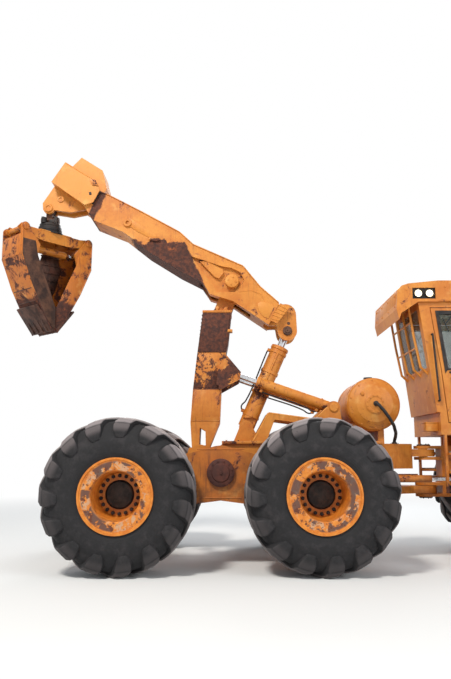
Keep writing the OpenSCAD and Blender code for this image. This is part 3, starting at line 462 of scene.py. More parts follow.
# %% [markdown]
# Wheels need a finish that knows how far a point is from its own hub: the lip of a rim is
# smooth orange, the band inside it is worn into grey and rusty patches by stones and mud, and a
# tyre is dusty on the lugs and dark between them, with a painted highlight on the lugs that grows
# towards the top of the tyre. Each wheel gets its own copy, centred on its hub.

# %% Rims and tyres
def from_hub(f, hub):
    """Distance from a wheel's axle, as a value."""
    across = f.x - hub.x
    up = f.z - hub.z
    return (across * across + up * up) ** 0.5


def rim_paint(side):
    f = Finish("rim_paint_" + side)
    hub = hubs[side]
    far = from_hub(f, hub)
    fine = f.noise(16, 6, 0.65, offset=(2, 5, 1))
    base = f.mix(fine.over(0.35, 0.68), rgb(196, 108, 26), rgb(218, 136, 46))
    patches = f.noise(11, 7, 0.7, offset=(hub.x, 3, 2), distortion=0.8)
    band = far.over(0.27, 0.31) * (1 - far.over(0.385, 0.405))
    pale = patches.over(0.53, 0.57) * band
    colour = f.mix(pale * 0.75, base, rgb(190, 158, 128))
    grey = f.noise(6, 5, 0.62, offset=(8, 1, 2), distortion=0.5).over(0.50, 0.53) * band
    colour = f.mix(grey * 0.9, colour, rgb(72, 52, 50))
    rust = f.noise(13, 7, 0.75, offset=(1, 7, 4)).over(0.55, 0.60) * (band + 0.15)
    colour = f.mix(rust, colour, rust_brown)
    inner = 1 - far.over(0.20, 0.245)
    colour = f.mix(inner * 0.35, colour, stain_brown)
    disc = 1 - far.over(0.168, 0.175)
    colour = f.mix(disc * 0.92, colour, dark_rust)
    roughness = 0.45 + rust * 0.3 + fine * 0.15
    skin = fine * 0.2 - rust * 0.4 - pale * 0.2
    return f.done(colour, roughness, height=skin, depth=0.002, strength=0.5)


def tyre_middle(side):
    return middle("tyre_" + side)


def tyre_rubber(side):
    f = Finish("tyre_rubber_" + side)
    hub = hubs[side]
    far = from_hub(f, hub)
    fine = f.noise(26, 7, 0.7, offset=(1, 2, 3))
    scuff = f.noise(9, 5, 0.65, stretch=(1, 0.4, 1), offset=(4, 4, 9))
    base = f.mix(fine.over(0.35, 0.7), rgb(13, 12, 14), rgb(27, 26, 29))
    wall = far.over(0.47, 0.56) * (1 - far.over(0.70, 0.80)) * scuff.over(0.42, 0.75)
    colour = f.mix(wall * 0.30, base, rgb(74, 68, 70))
    # The blocks stand proud of the casing, and dust lies on them. Their lighter grey is partly that dust
    # and partly a painted highlight that grows towards the top of the tyre
    across = ((f.y - tyre_middle(side).y) ** 2.0) ** 0.5
    proud = far.over(0.72, 0.80) * across.over(0.366, 0.372)
    # painted highlight: lugs, shoulders and tread faces are made lighter the higher they sit on the tyre
    high = f.z.over(hub.z - 0.1, hub.z + 0.75)
    colour = f.mix(proud * (0.12 + high * 0.35), colour, rgb(128, 118, 118))
    shoulder = (far + across * 0.62).over(1.062, 1.082)
    colour = f.mix(shoulder * (0.15 + high * 0.55), colour, rgb(158, 148, 148))
    top = far.over(0.884, 0.900) * (0.30 + high * 0.5)
    colour = f.mix(top.least(0.85), colour, rgb(176, 166, 164))
    cuts = f.noise(40, 5, 0.75, stretch=(1, 3, 1), offset=(6, 2, 2)).over(0.60, 0.66)
    colour = f.mix(cuts * 0.5, colour, rgb(30, 28, 30))
    rings = (far * 260).wave() * (1 - far.over(0.60, 0.62)) * far.over(0.47, 0.49)
    skin = fine * 0.5 + rings * 0.12 - cuts * 0.3
    return f.done(colour, 0.72 + fine * 0.2, height=skin, depth=0.004, strength=0.5)


rim_finish = {side: rim_paint(side) for side in hubs}
tyre_finish = {side: tyre_rubber(side) for side in hubs}


# %% [markdown]
# Some wear belongs to one place: the mast's upper face has rubbed against logs until it is bare
# brown steel. The web of the boom round its pivot and the foot of its side near the head are rust
# brown, which is partly lost paint and partly painted shade on the boom's lower side, and a dark
# strip where the boom enters its head is painted shadow. A mask drawn from straight lines in the
# side view gives such a place its edge, and noise makes the edge ragged.

# %% Masks drawn in the side view
def above_line(f, start, end, ragged=0.03):
    """1 on the left of a line that runs from start to end in the side view."""
    (x0, z0), (x1, z1) = start, end
    length = math.hypot(x1 - x0, z1 - z0)
    dx, dz = (x1 - x0) / length, (z1 - z0) / length
    offset = (f.z - z0) * dx - (f.x - (bogie_x + x0)) * dz
    wobble = (f.noise(9, 6, 0.7, offset=(x0 + 3, 2, z0)) - 0.5) * (ragged * 5)
    return (offset + wobble).over(-0.012, 0.012)


def mast_bare(f, patches):
    plate = f.z.over(2.775, 2.785) * (1 - f.z.over(3.335, 3.345))
    mottled = f.z.over(2.255, 2.275) * (1 - f.z.over(2.775, 2.785)) * patches.over(0.42, 0.46)
    return plate.most(mottled)


def boom_rust_and_shade(f, _patches):
    # The web and the foot are rust brown: partly lost paint, partly painted shade on the boom's lower side.
    under_top = 1 - above_line(f, (-1.02, 4.42), (-0.43, 4.335), 0.05)
    right_of_patch = 1 - above_line(f, (-1.20, 4.20), (-0.95, 4.45), 0.05)
    left_of_pivot = above_line(f, (-0.12, 3.50), (-0.47, 4.26), 0.02)
    web = under_top * right_of_patch * left_of_pivot
    foot = (1 - above_line(f, (-1.90, 4.62), (-1.16, 4.40), 0.03)) * left_of_pivot
    foot_low = foot * (1 - above_line(f, (-1.90, 4.78), (-0.90, 4.22), 0.04))
    # painted shadow: a dark strip on the boom where it enters the head, standing for the gap between them
    painted_joint_shadow = above_line(f, (-1.76, 4.85), (-1.61, 5.20), 0.02)
    painted_joint_shadow = painted_joint_shadow * (1 - above_line(f, (-1.84, 4.95), (-1.70, 5.25), 0.01))
    return web.most(foot_low).most(painted_joint_shadow)


mast_paint = painted("mast_paint", wear=0.45, dirt=0.5, bare_and_shade=mast_bare)
boom_paint = painted("boom_paint", wear=0.42, dirt=0.45, tone=0.52, bare_and_shade=boom_rust_and_shade)


# %% [markdown]
# The grapple is worked hardest. Its outside keeps most of its orange paint, while the inside and
# the tips are scoured to dark steel by bark. Height separates them: low on the tongs is bare.

# %% The grapple's finish
def tong_bare(f, patches):
    low = 1 - f.z.over(3.35, 3.75)
    return (low + (patches - 0.5) * 0.9).over(0.40, 0.62)


tong_paint = painted("tong_paint", wear=0.85, dirt=0.7, tone=0.42, bare_and_shade=tong_bare)


def scoured_steel():
    f = Finish("scoured_steel")
    grain = f.noise(9, 7, 0.7, stretch=(1, 1, 0.5), offset=(5, 1, 1))
    fine = f.noise(70, 4, 0.7)
    colour = f.mix(grain.over(0.35, 0.65), rgb(46, 28, 22), rgb(100, 70, 58))
    colour = f.mix(f.noise(6, 5, 0.6, offset=(2, 9, 2)).over(0.52, 0.70) * 0.7, colour, rust_brown)
    return f.done(colour, 0.42 + grain * 0.3, 0.55, height=grain * 0.6 + fine * 0.3, depth=0.003)


def greasy_steel(name, dark, light, rough=0.45, metal=0.3):
    f = Finish(name)
    clouds = f.noise(8, 6, 0.65, offset=(3, 3, 1))
    fine = f.noise(55, 4, 0.7)
    colour = f.mix(clouds.over(0.35, 0.70), dark, light)
    return f.done(colour, rough + fine * 0.3, metal, height=clouds * 0.3 + fine * 0.3, depth=0.002)


scoured = scoured_steel()
black_steel = greasy_steel("black_steel", rgb(18, 16, 17), rgb(58, 46, 40))
cast_steel = greasy_steel("cast_steel", rgb(52, 34, 28), rgb(104, 70, 52), 0.55)
engine_iron = greasy_steel("engine_iron", rgb(40, 38, 34), rgb(98, 88, 66), 0.5)


def exhaust_steel():
    f = Finish("exhaust_steel")
    heat = f.noise(9, 6, 0.7, stretch=(1, 1, 0.6))
    colour = f.mix(heat.over(0.35, 0.65), rgb(62, 36, 28), rgb(128, 82, 58))
    return f.done(colour, 0.7 + heat * 0.2, 0.4, height=heat, depth=0.002)


def chrome_rod():
    f = Finish("chrome_rod")
    film = f.noise(30, 4, 0.6)
    colour = f.mix(film.over(0.45, 0.75), rgb(214, 216, 220), rgb(160, 156, 150))
    return f.done(colour, 0.10 + film * 0.16, 1.0, height=film * 0.1, depth=0.0005, strength=0.3)


def hose_rubber():
    f = Finish("hose_rubber")
    fine = f.noise(120, 3, 0.6)
    dust = f.noise(7, 5, 0.6).over(0.48, 0.72)
    colour = f.mix(dust * 0.5, rgb(24, 23, 24), rgb(92, 82, 74))
    return f.done(colour, 0.55 + fine * 0.25, height=fine, depth=0.0008)


def cab_plastic():
    f = Finish("cab_plastic")
    grain = f.cells(900)
    dust = f.noise(6, 4, 0.6).over(0.45, 0.75)
    colour = f.mix(dust * 0.4, rgb(40, 39, 38), rgb(96, 88, 78))
    return f.done(colour, 0.6 + dust * 0.2, height=grain, depth=0.0006, strength=0.4)


def window_glass():
    f = Finish("window_glass", IOR=1.45)
    streaks = f.noise(8, 5, 0.65, stretch=(1, 1, 0.4)).over(0.45, 0.8)
    colour = f.mix(streaks, rgb(70, 88, 80), rgb(132, 142, 130))
    return f.done(colour, 0.05 + streaks * 0.25, alpha=0.34 + streaks * 0.16)


def lamp_glow():
    f = Finish("lamp_glow", Emission_Strength=2.2)
    ripple = f.cells(70)
    colour = f.mix(ripple.over(0.1, 0.7), rgb(255, 250, 225), rgb(245, 222, 170))
    f.plug(f.shader.inputs["Emission Color"], colour)
    return f.done(colour, 0.15 + ripple * 0.2)


def mud_and_bark():
    """Dry mud and bark dust on treads and ledges."""
    f = Finish("dry_mud")
    lumps = f.noise(24, 7, 0.75)
    colour = f.mix(lumps.over(0.35, 0.65), rgb(98, 78, 62), rgb(158, 138, 116))
    return f.done(colour, 0.95, height=lumps, depth=0.006, strength=0.9)


def flat_rust():
    f = Finish("cover_rust")
    mottle = f.noise(9, 5, 0.6)
    colour = f.mix(mottle.over(0.40, 0.70), rgb(66, 30, 22), rgb(92, 46, 34))
    return f.done(colour, 0.62 + mottle * 0.2, height=f.noise(30, 5, 0.7), depth=0.001)


exhaust_finish = exhaust_steel()
chrome = chrome_rod()
rubber = hose_rubber()
plastic = cab_plastic()
glass = window_glass()
lamp_lens = lamp_glow()
dry_mud = mud_and_bark()
cover_rust = flat_rust()
print("finishes ready")

# %% [markdown]
# The CAD solids whose shape is already right stay, and only get their finish.

# %% Finishes of the CAD solids
def dress(finish, *names):
    for name in names:
        node = nodes[name]
        node.data.materials.clear()
        node.data.materials.append(finish)


dress(yellow_paint, "rear_frame", "front_frame", "tank", "cab_shell", "cab_roof", "door_right", "door_left")
dress(yellow_paint, "hood", "hood_door_right", "hood_door_left", "blade_barrels")
dress(chipped_paint, "steps", "blade", "tilt_barrels", "boom_barrel", "grab_barrel", "grapple_head")
dress(clean_paint, "boom_head")
dress(dirty_paint, "bogie_right", "bogie_left", "rear_axle", "front_axle")
dress(dirty_paint, "steer_barrel_right", "steer_barrel_left")
dress(mast_paint, "mast")
dress(boom_paint, "boom")
dress(tong_paint, "tong_left", "tong_right")
dress(cast_steel, "hang_link")
dress(black_steel, "swivel_block", "rotator", "grille")
dress(engine_iron, "engine")
dress(exhaust_finish, "exhaust")
dress(chrome, "grab_rod", "tilt_rods", "boom_rod", "steer_rod_right", "steer_rod_left", "blade_rods")
dress(rubber, "tank_hose")
dress(plastic, "console", "seat")
dress(glass, "cab_glass", "door_glass_right", "door_glass_left")
dress(lamp_lens, "roof_lamps")
for side in hubs:
    dress(rim_finish[side], "rim_" + side)
    dress(tyre_finish[side], "tyre_" + side)
print("dressed", len(nodes), "CAD nodes")

# %% [markdown]
# The tyres are what you see first. Each is a smooth casing with fifteen heavy lugs a side. A lug
# starts as a plain box, is cut across into slices, and each slice is carried to its place on a
# path that crosses the tread at a slant and wraps down over the shoulder. One tyre is built
# round the origin and copied to the six hubs. The lugs lie where the CAD tyre's blocks lie.

# %% A tread lug
lug_count = 15
lug_path = [(0.010, 0.915), (0.090, 0.9148), (0.180, 0.913), (0.262, 0.907), (0.322, 0.893), (0.357, 0.865),
            (0.376, 0.825), (0.3845, 0.775), (0.3868, 0.720), (0.3850, 0.668)]
casing_path = [(0.010, 0.850), (0.090, 0.850), (0.175, 0.849), (0.245, 0.842), (0.290, 0.826),
               (0.315, 0.798), (0.330, 0.765), (0.340, 0.728), (0.350, 0.694), (0.360, 0.660)]
lug_slant = [0.00, 0.085, 0.175, 0.262, 0.325, 0.360, 0.380, 0.392, 0.398, 0.400]
lug_widths = [0.104, 0.112, 0.125, 0.150, 0.182, 0.204, 0.206, 0.190, 0.160, 0.116]


def make_lug(side):
    """One lug at the top of a tyre that stands on the origin; side is 1 for left, -1 for right."""
    bm = bmesh.new()
    bmesh.ops.create_cube(bm, size=1)
    long_edges = [e for e in bm.edges if abs(e.verts[0].co.y - e.verts[1].co.y) > 0.5]
    bmesh.ops.subdivide_edges(bm, edges=long_edges, cuts=len(lug_path) - 2, use_grid_fill=True)
    for v in bm.verts:
        step = round((v.co.y + 0.5) * (len(lug_path) - 1))
        outer = v.co.z > 0
        across, radius = lug_path[step] if outer else casing_path[step]
        flare = 1.0 if outer else 1.22
        turn = -lug_slant[step] * 0.92 + v.co.x * lug_widths[step] * flare / 0.9
        v.co = (math.sin(turn) * radius, side * across, math.cos(turn) * radius)
    bmesh.ops.recalc_face_normals(bm, faces=bm.faces)
    rims = [e for e in bm.edges if e.calc_face_angle(0) > math.radians(42)]
    bmesh.ops.bevel(bm, geom=rims, offset=0.018, segments=3, profile=0.5, affect="EDGES", material=-1,
                    clamp_overlap=True)
    return bm


# %% The casing and the whole tyre
def half_casing(sign):
    outside = [(0.0, 0.866), (0.14, 0.865), (0.235, 0.857), (0.285, 0.838), (0.318, 0.804), (0.338, 0.765),
               (0.352, 0.720), (0.368, 0.680), (0.381, 0.645), (0.3865, 0.600), (0.3868, 0.560),
               (0.3835, 0.520), (0.3770, 0.485), (0.3740, 0.478), (0.3700, 0.470), (0.3690, 0.455),
               (0.3617, 0.4396), (0.3617, 0.4056)]
    return [(sign * along, radius) for along, radius in outside]


def make_tyre():
    inside = [(-0.30, 0.4056), (-0.31, 0.47), (-0.33, 0.62), (-0.28, 0.75), (0.28, 0.75), (0.33, 0.62),
              (0.31, 0.47), (0.30, 0.4056)]
    profile = half_casing(1)[::-1] + half_casing(-1)[1:] + inside
    bm = turned(profile, (0, 0, 0), (0, 1, 0), 90)
    for side in (1, -1):
        lug = make_lug(side)
        for k in range(lug_count):
            copy = lug.copy()
            turn = math.tau * (k + (0.5 if side > 0 else 0)) / lug_count
            bmesh.ops.rotate(copy, verts=copy.verts, cent=(0, 0, 0), matrix=Matrix.Rotation(turn, 3, "Y"))
            join(bm, copy)
        lug.free()
    return bm


whole_tyre = make_tyre()
for side, hub in hubs.items():
    copy = whole_tyre.copy()
    bmesh.ops.translate(copy, verts=copy.verts, vec=tyre_middle(side))
    tyre = piece("lugged_tyre_" + side, copy, tyre_finish[side], "wheel_" + side, 40)
    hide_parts("tyre_" + side)
print("a tyre has", len(whole_tyre.faces), "faces")
whole_tyre.free()

# %% [markdown]
# Each rim is bolted to its planetary hub by a ring of nuts on studs. A stepped lid closes the
# middle, with a smaller ring of bolts round it.

# %% Wheel nuts and hub lids
nut_circle = 0.2235
nut_count = 18
lid_profile = [(0.0, 0.0), (0.052, 0.0), (0.050, 0.060), (0.034, 0.110),
               (0.030, 0.150), (0.012, 0.170), (0.0, 0.170)]
for side, hub in hubs.items():
    out = -1 if hub.y < 0 else 1
    axis = (0, out, 0)
    face_y = tyre_middle(side).y + out * 0.020
    seat = Vector((hub.x, face_y, hub.z))
    nut_places = round_places(seat, axis, nut_circle, nut_count, 0.1)
    nuts = [bolts(nut_places, axis, 0.024, 0.026)]
    nuts += [rod(place, place + Vector(axis) * 0.044, 0.012, 12, 0.001) for place in nut_places]
    piece("wheel_nuts_" + side, nuts, black_steel, "wheel_" + side)
    lid_foot = Vector((hub.x, tyre_middle(side).y + out * 0.0053, hub.z))
    lid = [turned([(reach * out, radius) for reach, radius in lid_profile], lid_foot, (0, 1, 0), 48),
           bolt_circle(seat, axis, 0.155, 12, 0.009, 0.010, 0.26)]
    piece("hub_lid_" + side, lid, black_steel, "wheel_" + side)
print("wheel nuts:", nut_count * len(hubs))

# %% [markdown]
# The mast is a welded box with wear plates on its flanks. The upper one has rubbed smooth and
# brown; the lower one keeps its paint. Thin plates with rounded edges catch the light along
# their rims, which is what makes a welded box look welded.

# %% Plates on both flanks
def flank_plates(name, outline, inner, outer, finish, body, bevel=0.003):
    """The same flat plate on the right and left flank, from inner to outer distance."""
    plates = [slab(outline, side * inner, side * outer, bevel) for side in both_sides]
    return piece(name, plates, finish, body)


def weld_bead(name, points, across, radius, finish, body):
    """A weld seam: a thin bead along a line in the side view, on both flanks."""
    beads = [chain([at(x, z, side * across) for x, z in points], radius, 8, 1, True) for side in both_sides]
    return piece(name, beads, finish, body)


mast_low, mast_high = span("mast", 1)
mast_side = (mast_high - mast_low) / 2 - 0.065
mast_plates = {
    "upper": (0.010, [(-0.318, 2.785), (-0.262, 3.318), (0.118, 3.318), (0.078, 2.950), (0.052, 2.785)]),
    "middle": (0.007, [(-0.372, 2.290), (-0.326, 2.765), (0.042, 2.765), (-0.012, 2.290)]),
    "lower": (0.008, [(-0.402, 1.845), (-0.376, 2.262), (-0.018, 2.262), (-0.034, 1.845)]),
}
for label, (lift, outline) in mast_plates.items():
    name = "mast_plate_" + label
    flank_plates(name, outline, mast_side - 0.001, mast_side + lift, mast_paint, "mast_body")
rivet_count = 19
rivets = []
for side in both_sides:
    for step in range(rivet_count):
        share = (step + 0.5) / rivet_count
        place = at(-0.368 + share * 0.106, 2.30 + share * 1.03, side * (mast_side + 0.001))
        rivets.append(bolts([place], (0, side, 0), 0.011, 0.012, 8))
piece("mast_rivets", rivets, cast_steel, "mast_body")
weld_bead("mast_seams", [(-0.405, 1.838), (-0.028, 1.838)], mast_side, 0.007, mast_paint, "mast_body")
print("mast plates on", round(mast_side, 3))

# %% Mast head wedges and the small bracket
wedge_foot, wedge_top = 3.372, 3.455
wedges = []
for x, lean in ((-0.10, 0.09), (0.04, 0.05)):
    outline = [(x - 0.035, wedge_foot), (x + 0.045, wedge_foot), (x + 0.02 + lean * 0.5, wedge_top),
               (x + lean * 0.5 - 0.01, wedge_top)]
    wedges += [slab(outline, side * 0.135 - 0.012, side * 0.135 + 0.012) for side in both_sides]
piece("mast_head_wedges", wedges, boom_paint, "mast_body")
bracket = [block(at(0.085, 3.065, -0.262), at(0.155, 3.105, -0.150), 0.006),
           rod(at(0.120, 3.085, -0.275), at(0.120, 3.085, -0.140), 0.016, 16)]
piece("mast_hose_bracket", bracket, clean_paint, "mast_body")

# %% [markdown]
# The boom is a box too, cranked at its pivot. Its side has a sunk panel round the pivot with a
# raised triangle, and the end of the pivot pin shows under a bolted cap.

# %% The boom's pivot pin and top plates
boom_side = 0.25
boom_pivot = (0.15, 3.79)
pin_profile = [(0.0, 0.092), (0.018, 0.098), (0.030, 0.090), (0.034, 0.060)]
pin_ends = []
for side in both_sides:
    axis = (0, side, 0)
    pin_ends.append(cap(pin_profile, at(*boom_pivot, side * (boom_side + 0.022)), axis, 48))
    pin_ends.append(bolt_circle(at(*boom_pivot, side * (boom_side + 0.054)), axis,
                                0.055, 4, 0.012, 0.012, 0.5))
piece("boom_pin_caps", pin_ends, clean_paint, "boom_body")

top_edge = [(-1.86, 5.165), (-1.612, 5.060), (-1.120, 4.800), (-0.600, 4.510), (-0.410, 4.330),
            (0.300, 4.010), (0.540, 3.710), (0.800, 3.478)]
strip_thickness = 0.014
strips = []
for (x0, z0), (x1, z1) in zip(top_edge, top_edge[1:]):
    length = math.hypot(x1 - x0, z1 - z0)
    nx, nz = -(z1 - z0) / length * strip_thickness, (x1 - x0) / length * strip_thickness
    outline = [(x0, z0), (x1, z1), (x1 + nx, z1 + nz), (x0 + nx, z0 + nz)]
    strips.append(slab(outline, -boom_side - 0.012, boom_side + 0.012, 0.004))
piece("boom_top_plates", strips, boom_paint, "boom_body")

# %% Patches, eyes and seams on the boom's sides
patch = [(-1.375, 4.700), (-1.300, 4.722), (-1.215, 4.665), (-0.930, 4.478), (-0.885, 4.420),
         (-1.020, 4.428), (-1.190, 4.520), (-1.345, 4.620)]
flank_plates("boom_patch", patch, boom_side - 0.001, boom_side + 0.008, boom_paint, "boom_body")
lip = [(-1.040, 4.430), (-0.880, 4.418), (-0.868, 4.390), (-0.930, 4.372), (-1.040, 4.398)]
flank_plates("boom_lip", lip, boom_side - 0.001, boom_side + 0.030, boom_paint, "boom_body", bevel=0.008)
eye_profile = [(0.0, 0.020), (0.0, 0.062), (0.026, 0.056), (0.026, 0.026)]
hose_eyes = [turned(eye_profile, at(-1.345, 4.655, side * boom_side), (0, side, 0), 32)
             for side in both_sides]
piece("boom_hose_eyes", hose_eyes, boom_paint, "boom_body")
panel_edge = [(-0.440, 4.165), (-0.254, 4.105), (-0.010, 4.018), (0.145, 3.990), (0.255, 3.935),
              (0.325, 3.815), (0.235, 3.690)]
weld_bead("boom_seams", panel_edge, boom_side, 0.006, boom_paint, "boom_body")
rib_edge = [(-0.302, 4.083), (-0.200, 4.077), (0.017, 3.972), (0.024, 3.917), (-0.037, 3.839),
            (-0.092, 3.860), (-0.302, 4.083)]
weld_bead("boom_rib_seams", rib_edge, boom_side - 0.005, 0.005, boom_paint, "boom_body")
tail_edge = [(0.240, 3.640), (0.420, 3.662), (0.560, 3.600), (0.640, 3.440), (0.600, 3.300)]
weld_bead("boom_tail_seams", tail_edge, boom_side, 0.005, boom_paint, "boom_body")
tail_patch = [(0.505, 3.470), (0.560, 3.500), (0.700, 3.470), (0.735, 3.420), (0.655, 3.255),
              (0.575, 3.290), (0.520, 3.380)]
flank_plates("boom_tail_patch", tail_patch, boom_side - 0.001, boom_side + 0.009, clean_paint,
             "boom_body")
ribs = []
for share in (0.18, 0.36, 0.54, 0.72, 0.90):
    x0, z0 = 0.822 + (0.682 - 0.822) * share, 3.500 + (3.232 - 3.500) * share
    x1, z1 = 0.948 + (0.790 - 0.948) * share, 3.430 + (3.200 - 3.430) * share
    for y in (-boom_side - 0.012, boom_side + 0.012):
        ribs.append(rod(at(x0, z0, y), at(x1, z1, y), 0.008, 12))
piece("boom_tail_ribs", ribs, clean_paint, "boom_body")
print("boom details on", boom_side)

# %% Clevis of the boom's tail
clevis_x, clevis_z = 0.925, 3.095
cap_profile = [(0.0, 0.062), (0.012, 0.066), (0.022, 0.058), (0.024, 0.0)]
nipple_profile = [(0.020, 0.010), (0.020, 0.030), (0.034, 0.028), (0.034, 0.010)]
clevis = []
for side in both_sides:
    axis = (0, side, 0)
    centre = at(clevis_x, clevis_z, side * 0.175)
    clevis.append(cap(cap_profile, centre, axis, 40))
    clevis.append(turned(nipple_profile, centre, axis, 24))
    plug = at(clevis_x + 0.018, clevis_z + 0.108, side * 0.175)
    clevis.append(bolts([plug], axis, 0.022, 0.004, 16))
    clevis.append(bolt_circle(at(clevis_x, clevis_z, side * 0.197), axis, 0.045, 3, 0.009, 0.008, 0.3))
piece("boom_eye_caps", clevis, cast_steel, "boom_body")

# %% [markdown]
# The head at the boom's far end is a heavy casting with a square crown. Keeper rings hold the
# two cross pins from which the grapple hangs.

# %% Boom head details
head_side = 0.30
weld_bead("head_seams", [(-2.250, 5.540), (-1.815, 5.272)], head_side, 0.006, boom_paint, "boom_body")
# painted shadow: a black plate on each flank where the boom meets the head stands for the shadow in the gap
# between them
joint_shadow_outline = [(-1.770, 5.150), (-1.735, 5.120), (-1.845, 4.935), (-1.885, 4.950)]
flank_plates("head_joint_shadow", joint_shadow_outline, boom_side + 0.002, boom_side + 0.030, black_steel, "boom_body")
pin_rings = []
for side in both_sides:
    for x, z, r, depth in ((-2.520, 4.925, 0.062, 0.125), (-2.300, 4.985, 0.048, head_side)):
        profile = [(0.0, r), (0.016, r), (0.024, r * 0.85), (0.024, r * 0.55), (0.012, r * 0.5)]
        pin_rings.append(cap(profile, at(x, z, side * depth), (0, side, 0), 32))
piece("head_pin_rings", pin_rings, chipped_paint, "boom_body")
# painted shade: a thin black plate on each flank of the head stands for the dark inside of a slot
slot_shade_outline = [(-1.905, 5.100), (-1.870, 5.105), (-1.860, 5.060), (-1.895, 5.055)]
flank_plates("head_slot_shade", slot_shade_outline, head_side - 0.001, head_side + 0.002, black_steel, "boom_body",
             0.001)
notch = [(-1.900, 5.300), (-1.812, 5.286), (-1.770, 5.190), (-1.860, 5.205)]
flank_plates("head_notch", notch, head_side - 0.001, head_side + 0.012, chipped_paint, "boom_body")
print("head details ready")

# %% [markdown]
# Hydraulic cylinders get what every one has: a gland nut where the rod comes out, a rear cap
# ring, and hard oil pipes that run along the barrel between two port blocks.

# %% Cylinder fittings
def cylinder_fittings(name, base, eye, barrel_radius, gland_at, body, finish,
                      pipe_turn=1.0, across=0.0, first=0.20):
    """Rings, port blocks and an oil pipe on a barrel that runs from base to the gland."""
    base, eye = at(*base, across), at(*eye, across)
    axis = (eye - base).normalized()
    inner = barrel_radius * 0.62
    gland = [(-0.014, inner), (-0.014, barrel_radius + 0.010), (-0.055, barrel_radius + 0.012),
             (-0.062, barrel_radius + 0.001), (-0.062, inner)]
    fittings = [turned(gland, base + axis * (gland_at + 0.008), axis, 40),
                ring(barrel_radius - 0.004, barrel_radius + 0.008, 0.024,
                     base + axis * (first - 0.04), axis, 40)]
    up = axis.cross(Vector((0, 1, 0))).normalized() * pipe_turn
    near, far = base + axis * first, base + axis * (gland_at - 0.10)
    for spot in (near, far):
        low = spot + up * (barrel_radius - 0.006)
        fittings.append(rod(low, low + up * 0.046, 0.026, 6, 0.003))
    piece(name + "_fittings", fittings, finish, body)
    lift = up * (barrel_radius + 0.034)
    pipe = [near + lift, near + lift * 1.18 + axis * 0.05,
            near + lift + axis * 0.14, far + lift - axis * 0.02]
    tube(name + "_pipe", pipe, 0.010, black_steel, body)


tilt_base, tilt_eye = (1.520, 2.010), (0.170, 2.480)
tilt_gland = math.dist(tilt_base, tilt_eye) - 0.330
tilt_y = 0.24
for label, side in named_sides:
    cylinder_fittings("tilt_" + label, tilt_base, tilt_eye, 0.075, tilt_gland, "tilt_cyl", chipped_paint,
                      across=side * tilt_y)
boom_base, boom_eye = (0.340, 1.760), (0.925, 3.095)
boom_gland = math.dist(boom_base, boom_eye) - 0.225
cylinder_fittings("boom_lift", boom_base, boom_eye, 0.115, boom_gland, "boom_cyl", chipped_paint)
blade_base, blade_eye = (5.330, 1.390), (5.905, 0.760)
blade_y = 0.51
for label, side in named_sides:
    cylinder_fittings("blade_" + label, blade_base, blade_eye, 0.050, 0.520, "blade_cyl", yellow_paint,
                      -1.0, side * blade_y, 0.30)
print("cylinder fittings ready")

# %% Clamps and a long guard bar on the boom cylinder
cylinder_foot = at(*boom_base)
cylinder_axis = (at(*boom_eye) - cylinder_foot).normalized()
bar_side = Vector((0, -0.118, 0))
clamps = [ring(0.112, 0.126, 0.040, cylinder_foot + cylinder_axis * reach, cylinder_axis, 40)
          for reach in (0.50, 0.82, 1.12)]
bar_low, bar_high = (cylinder_foot + cylinder_axis * reach + bar_side for reach in (0.62, 1.12))
clamps.append(rod(bar_low, bar_high, 0.012, 12))
piece("boom_cylinder_clamps", clamps, chipped_paint, "boom_cyl")

# %% [markdown]
# The oil tank lies across the machine behind the cab. Its end has a bolted inspection ring, two
# straps hold it on its saddles, and the suction hose leaves the ring and dips to the deck.

# %% Tank
tank_middle = middle("tank")
tank_right, tank_left = span("tank", 1)
tank_bottom, tank_top = span("tank", 2)
tank_radius = (tank_top - tank_bottom) / 2
tank_half = (tank_left - tank_right) / 2
end_profile = [(-0.030, 0.132), (0.006, 0.132), (0.010, 0.126), (0.010, 0.092), (0.002, 0.088)]


def on_tank(y, ahead=0.0, up=0.0):
    """A place y to the left, ahead of the tank's axis and above it."""
    return Vector((tank_middle.x + ahead, y, tank_middle.z + up))


tank_ends = []
for side in both_sides:
    axis = (0, side, 0)
    tank_ends.append(cap(end_profile, on_tank(side * (tank_half - 0.012)), axis, 48))
    tank_ends.append(bolt_circle(on_tank(side * (tank_half - 0.004)), axis, 0.110, 12, 0.010, 0.010))
    tank_ends.append(bolts([on_tank(side * (tank_half - 0.052), -0.165, 0.135)], axis, 0.026, 0.036))
    tank_ends.append(bolt_circle(on_tank(side * 0.455), axis, tank_radius - 0.040, 10, 0.011, 0.018, 0.2))
piece("tank_end_rings", tank_ends, yellow_paint, "rear_chassis")
straps = [ring(tank_radius - 0.001, tank_radius + 0.004, 0.060, on_tank(y - 0.030), (0, 1, 0), 72)
          for y in (-0.30, 0.30)]
piece("tank_straps", straps, chipped_paint, "rear_chassis")
filler_profile = [(0.0, 0.060), (0.030, 0.064), (0.042, 0.058), (0.046, 0.0)]
filler = cap(filler_profile, on_tank(-0.12, up=tank_radius - 0.004), (0, 0, 1), 32)
piece("tank_filler_cap", filler, black_steel, "rear_chassis")
print("tank radius", round(tank_radius, 3))

# %% [markdown]
# The hose is a free cord: it leaves the tank's end ring, sags, and goes into the deck. Its route
# is the same as the CAD solid's, so it replaces that solid, and collars hide both ends.

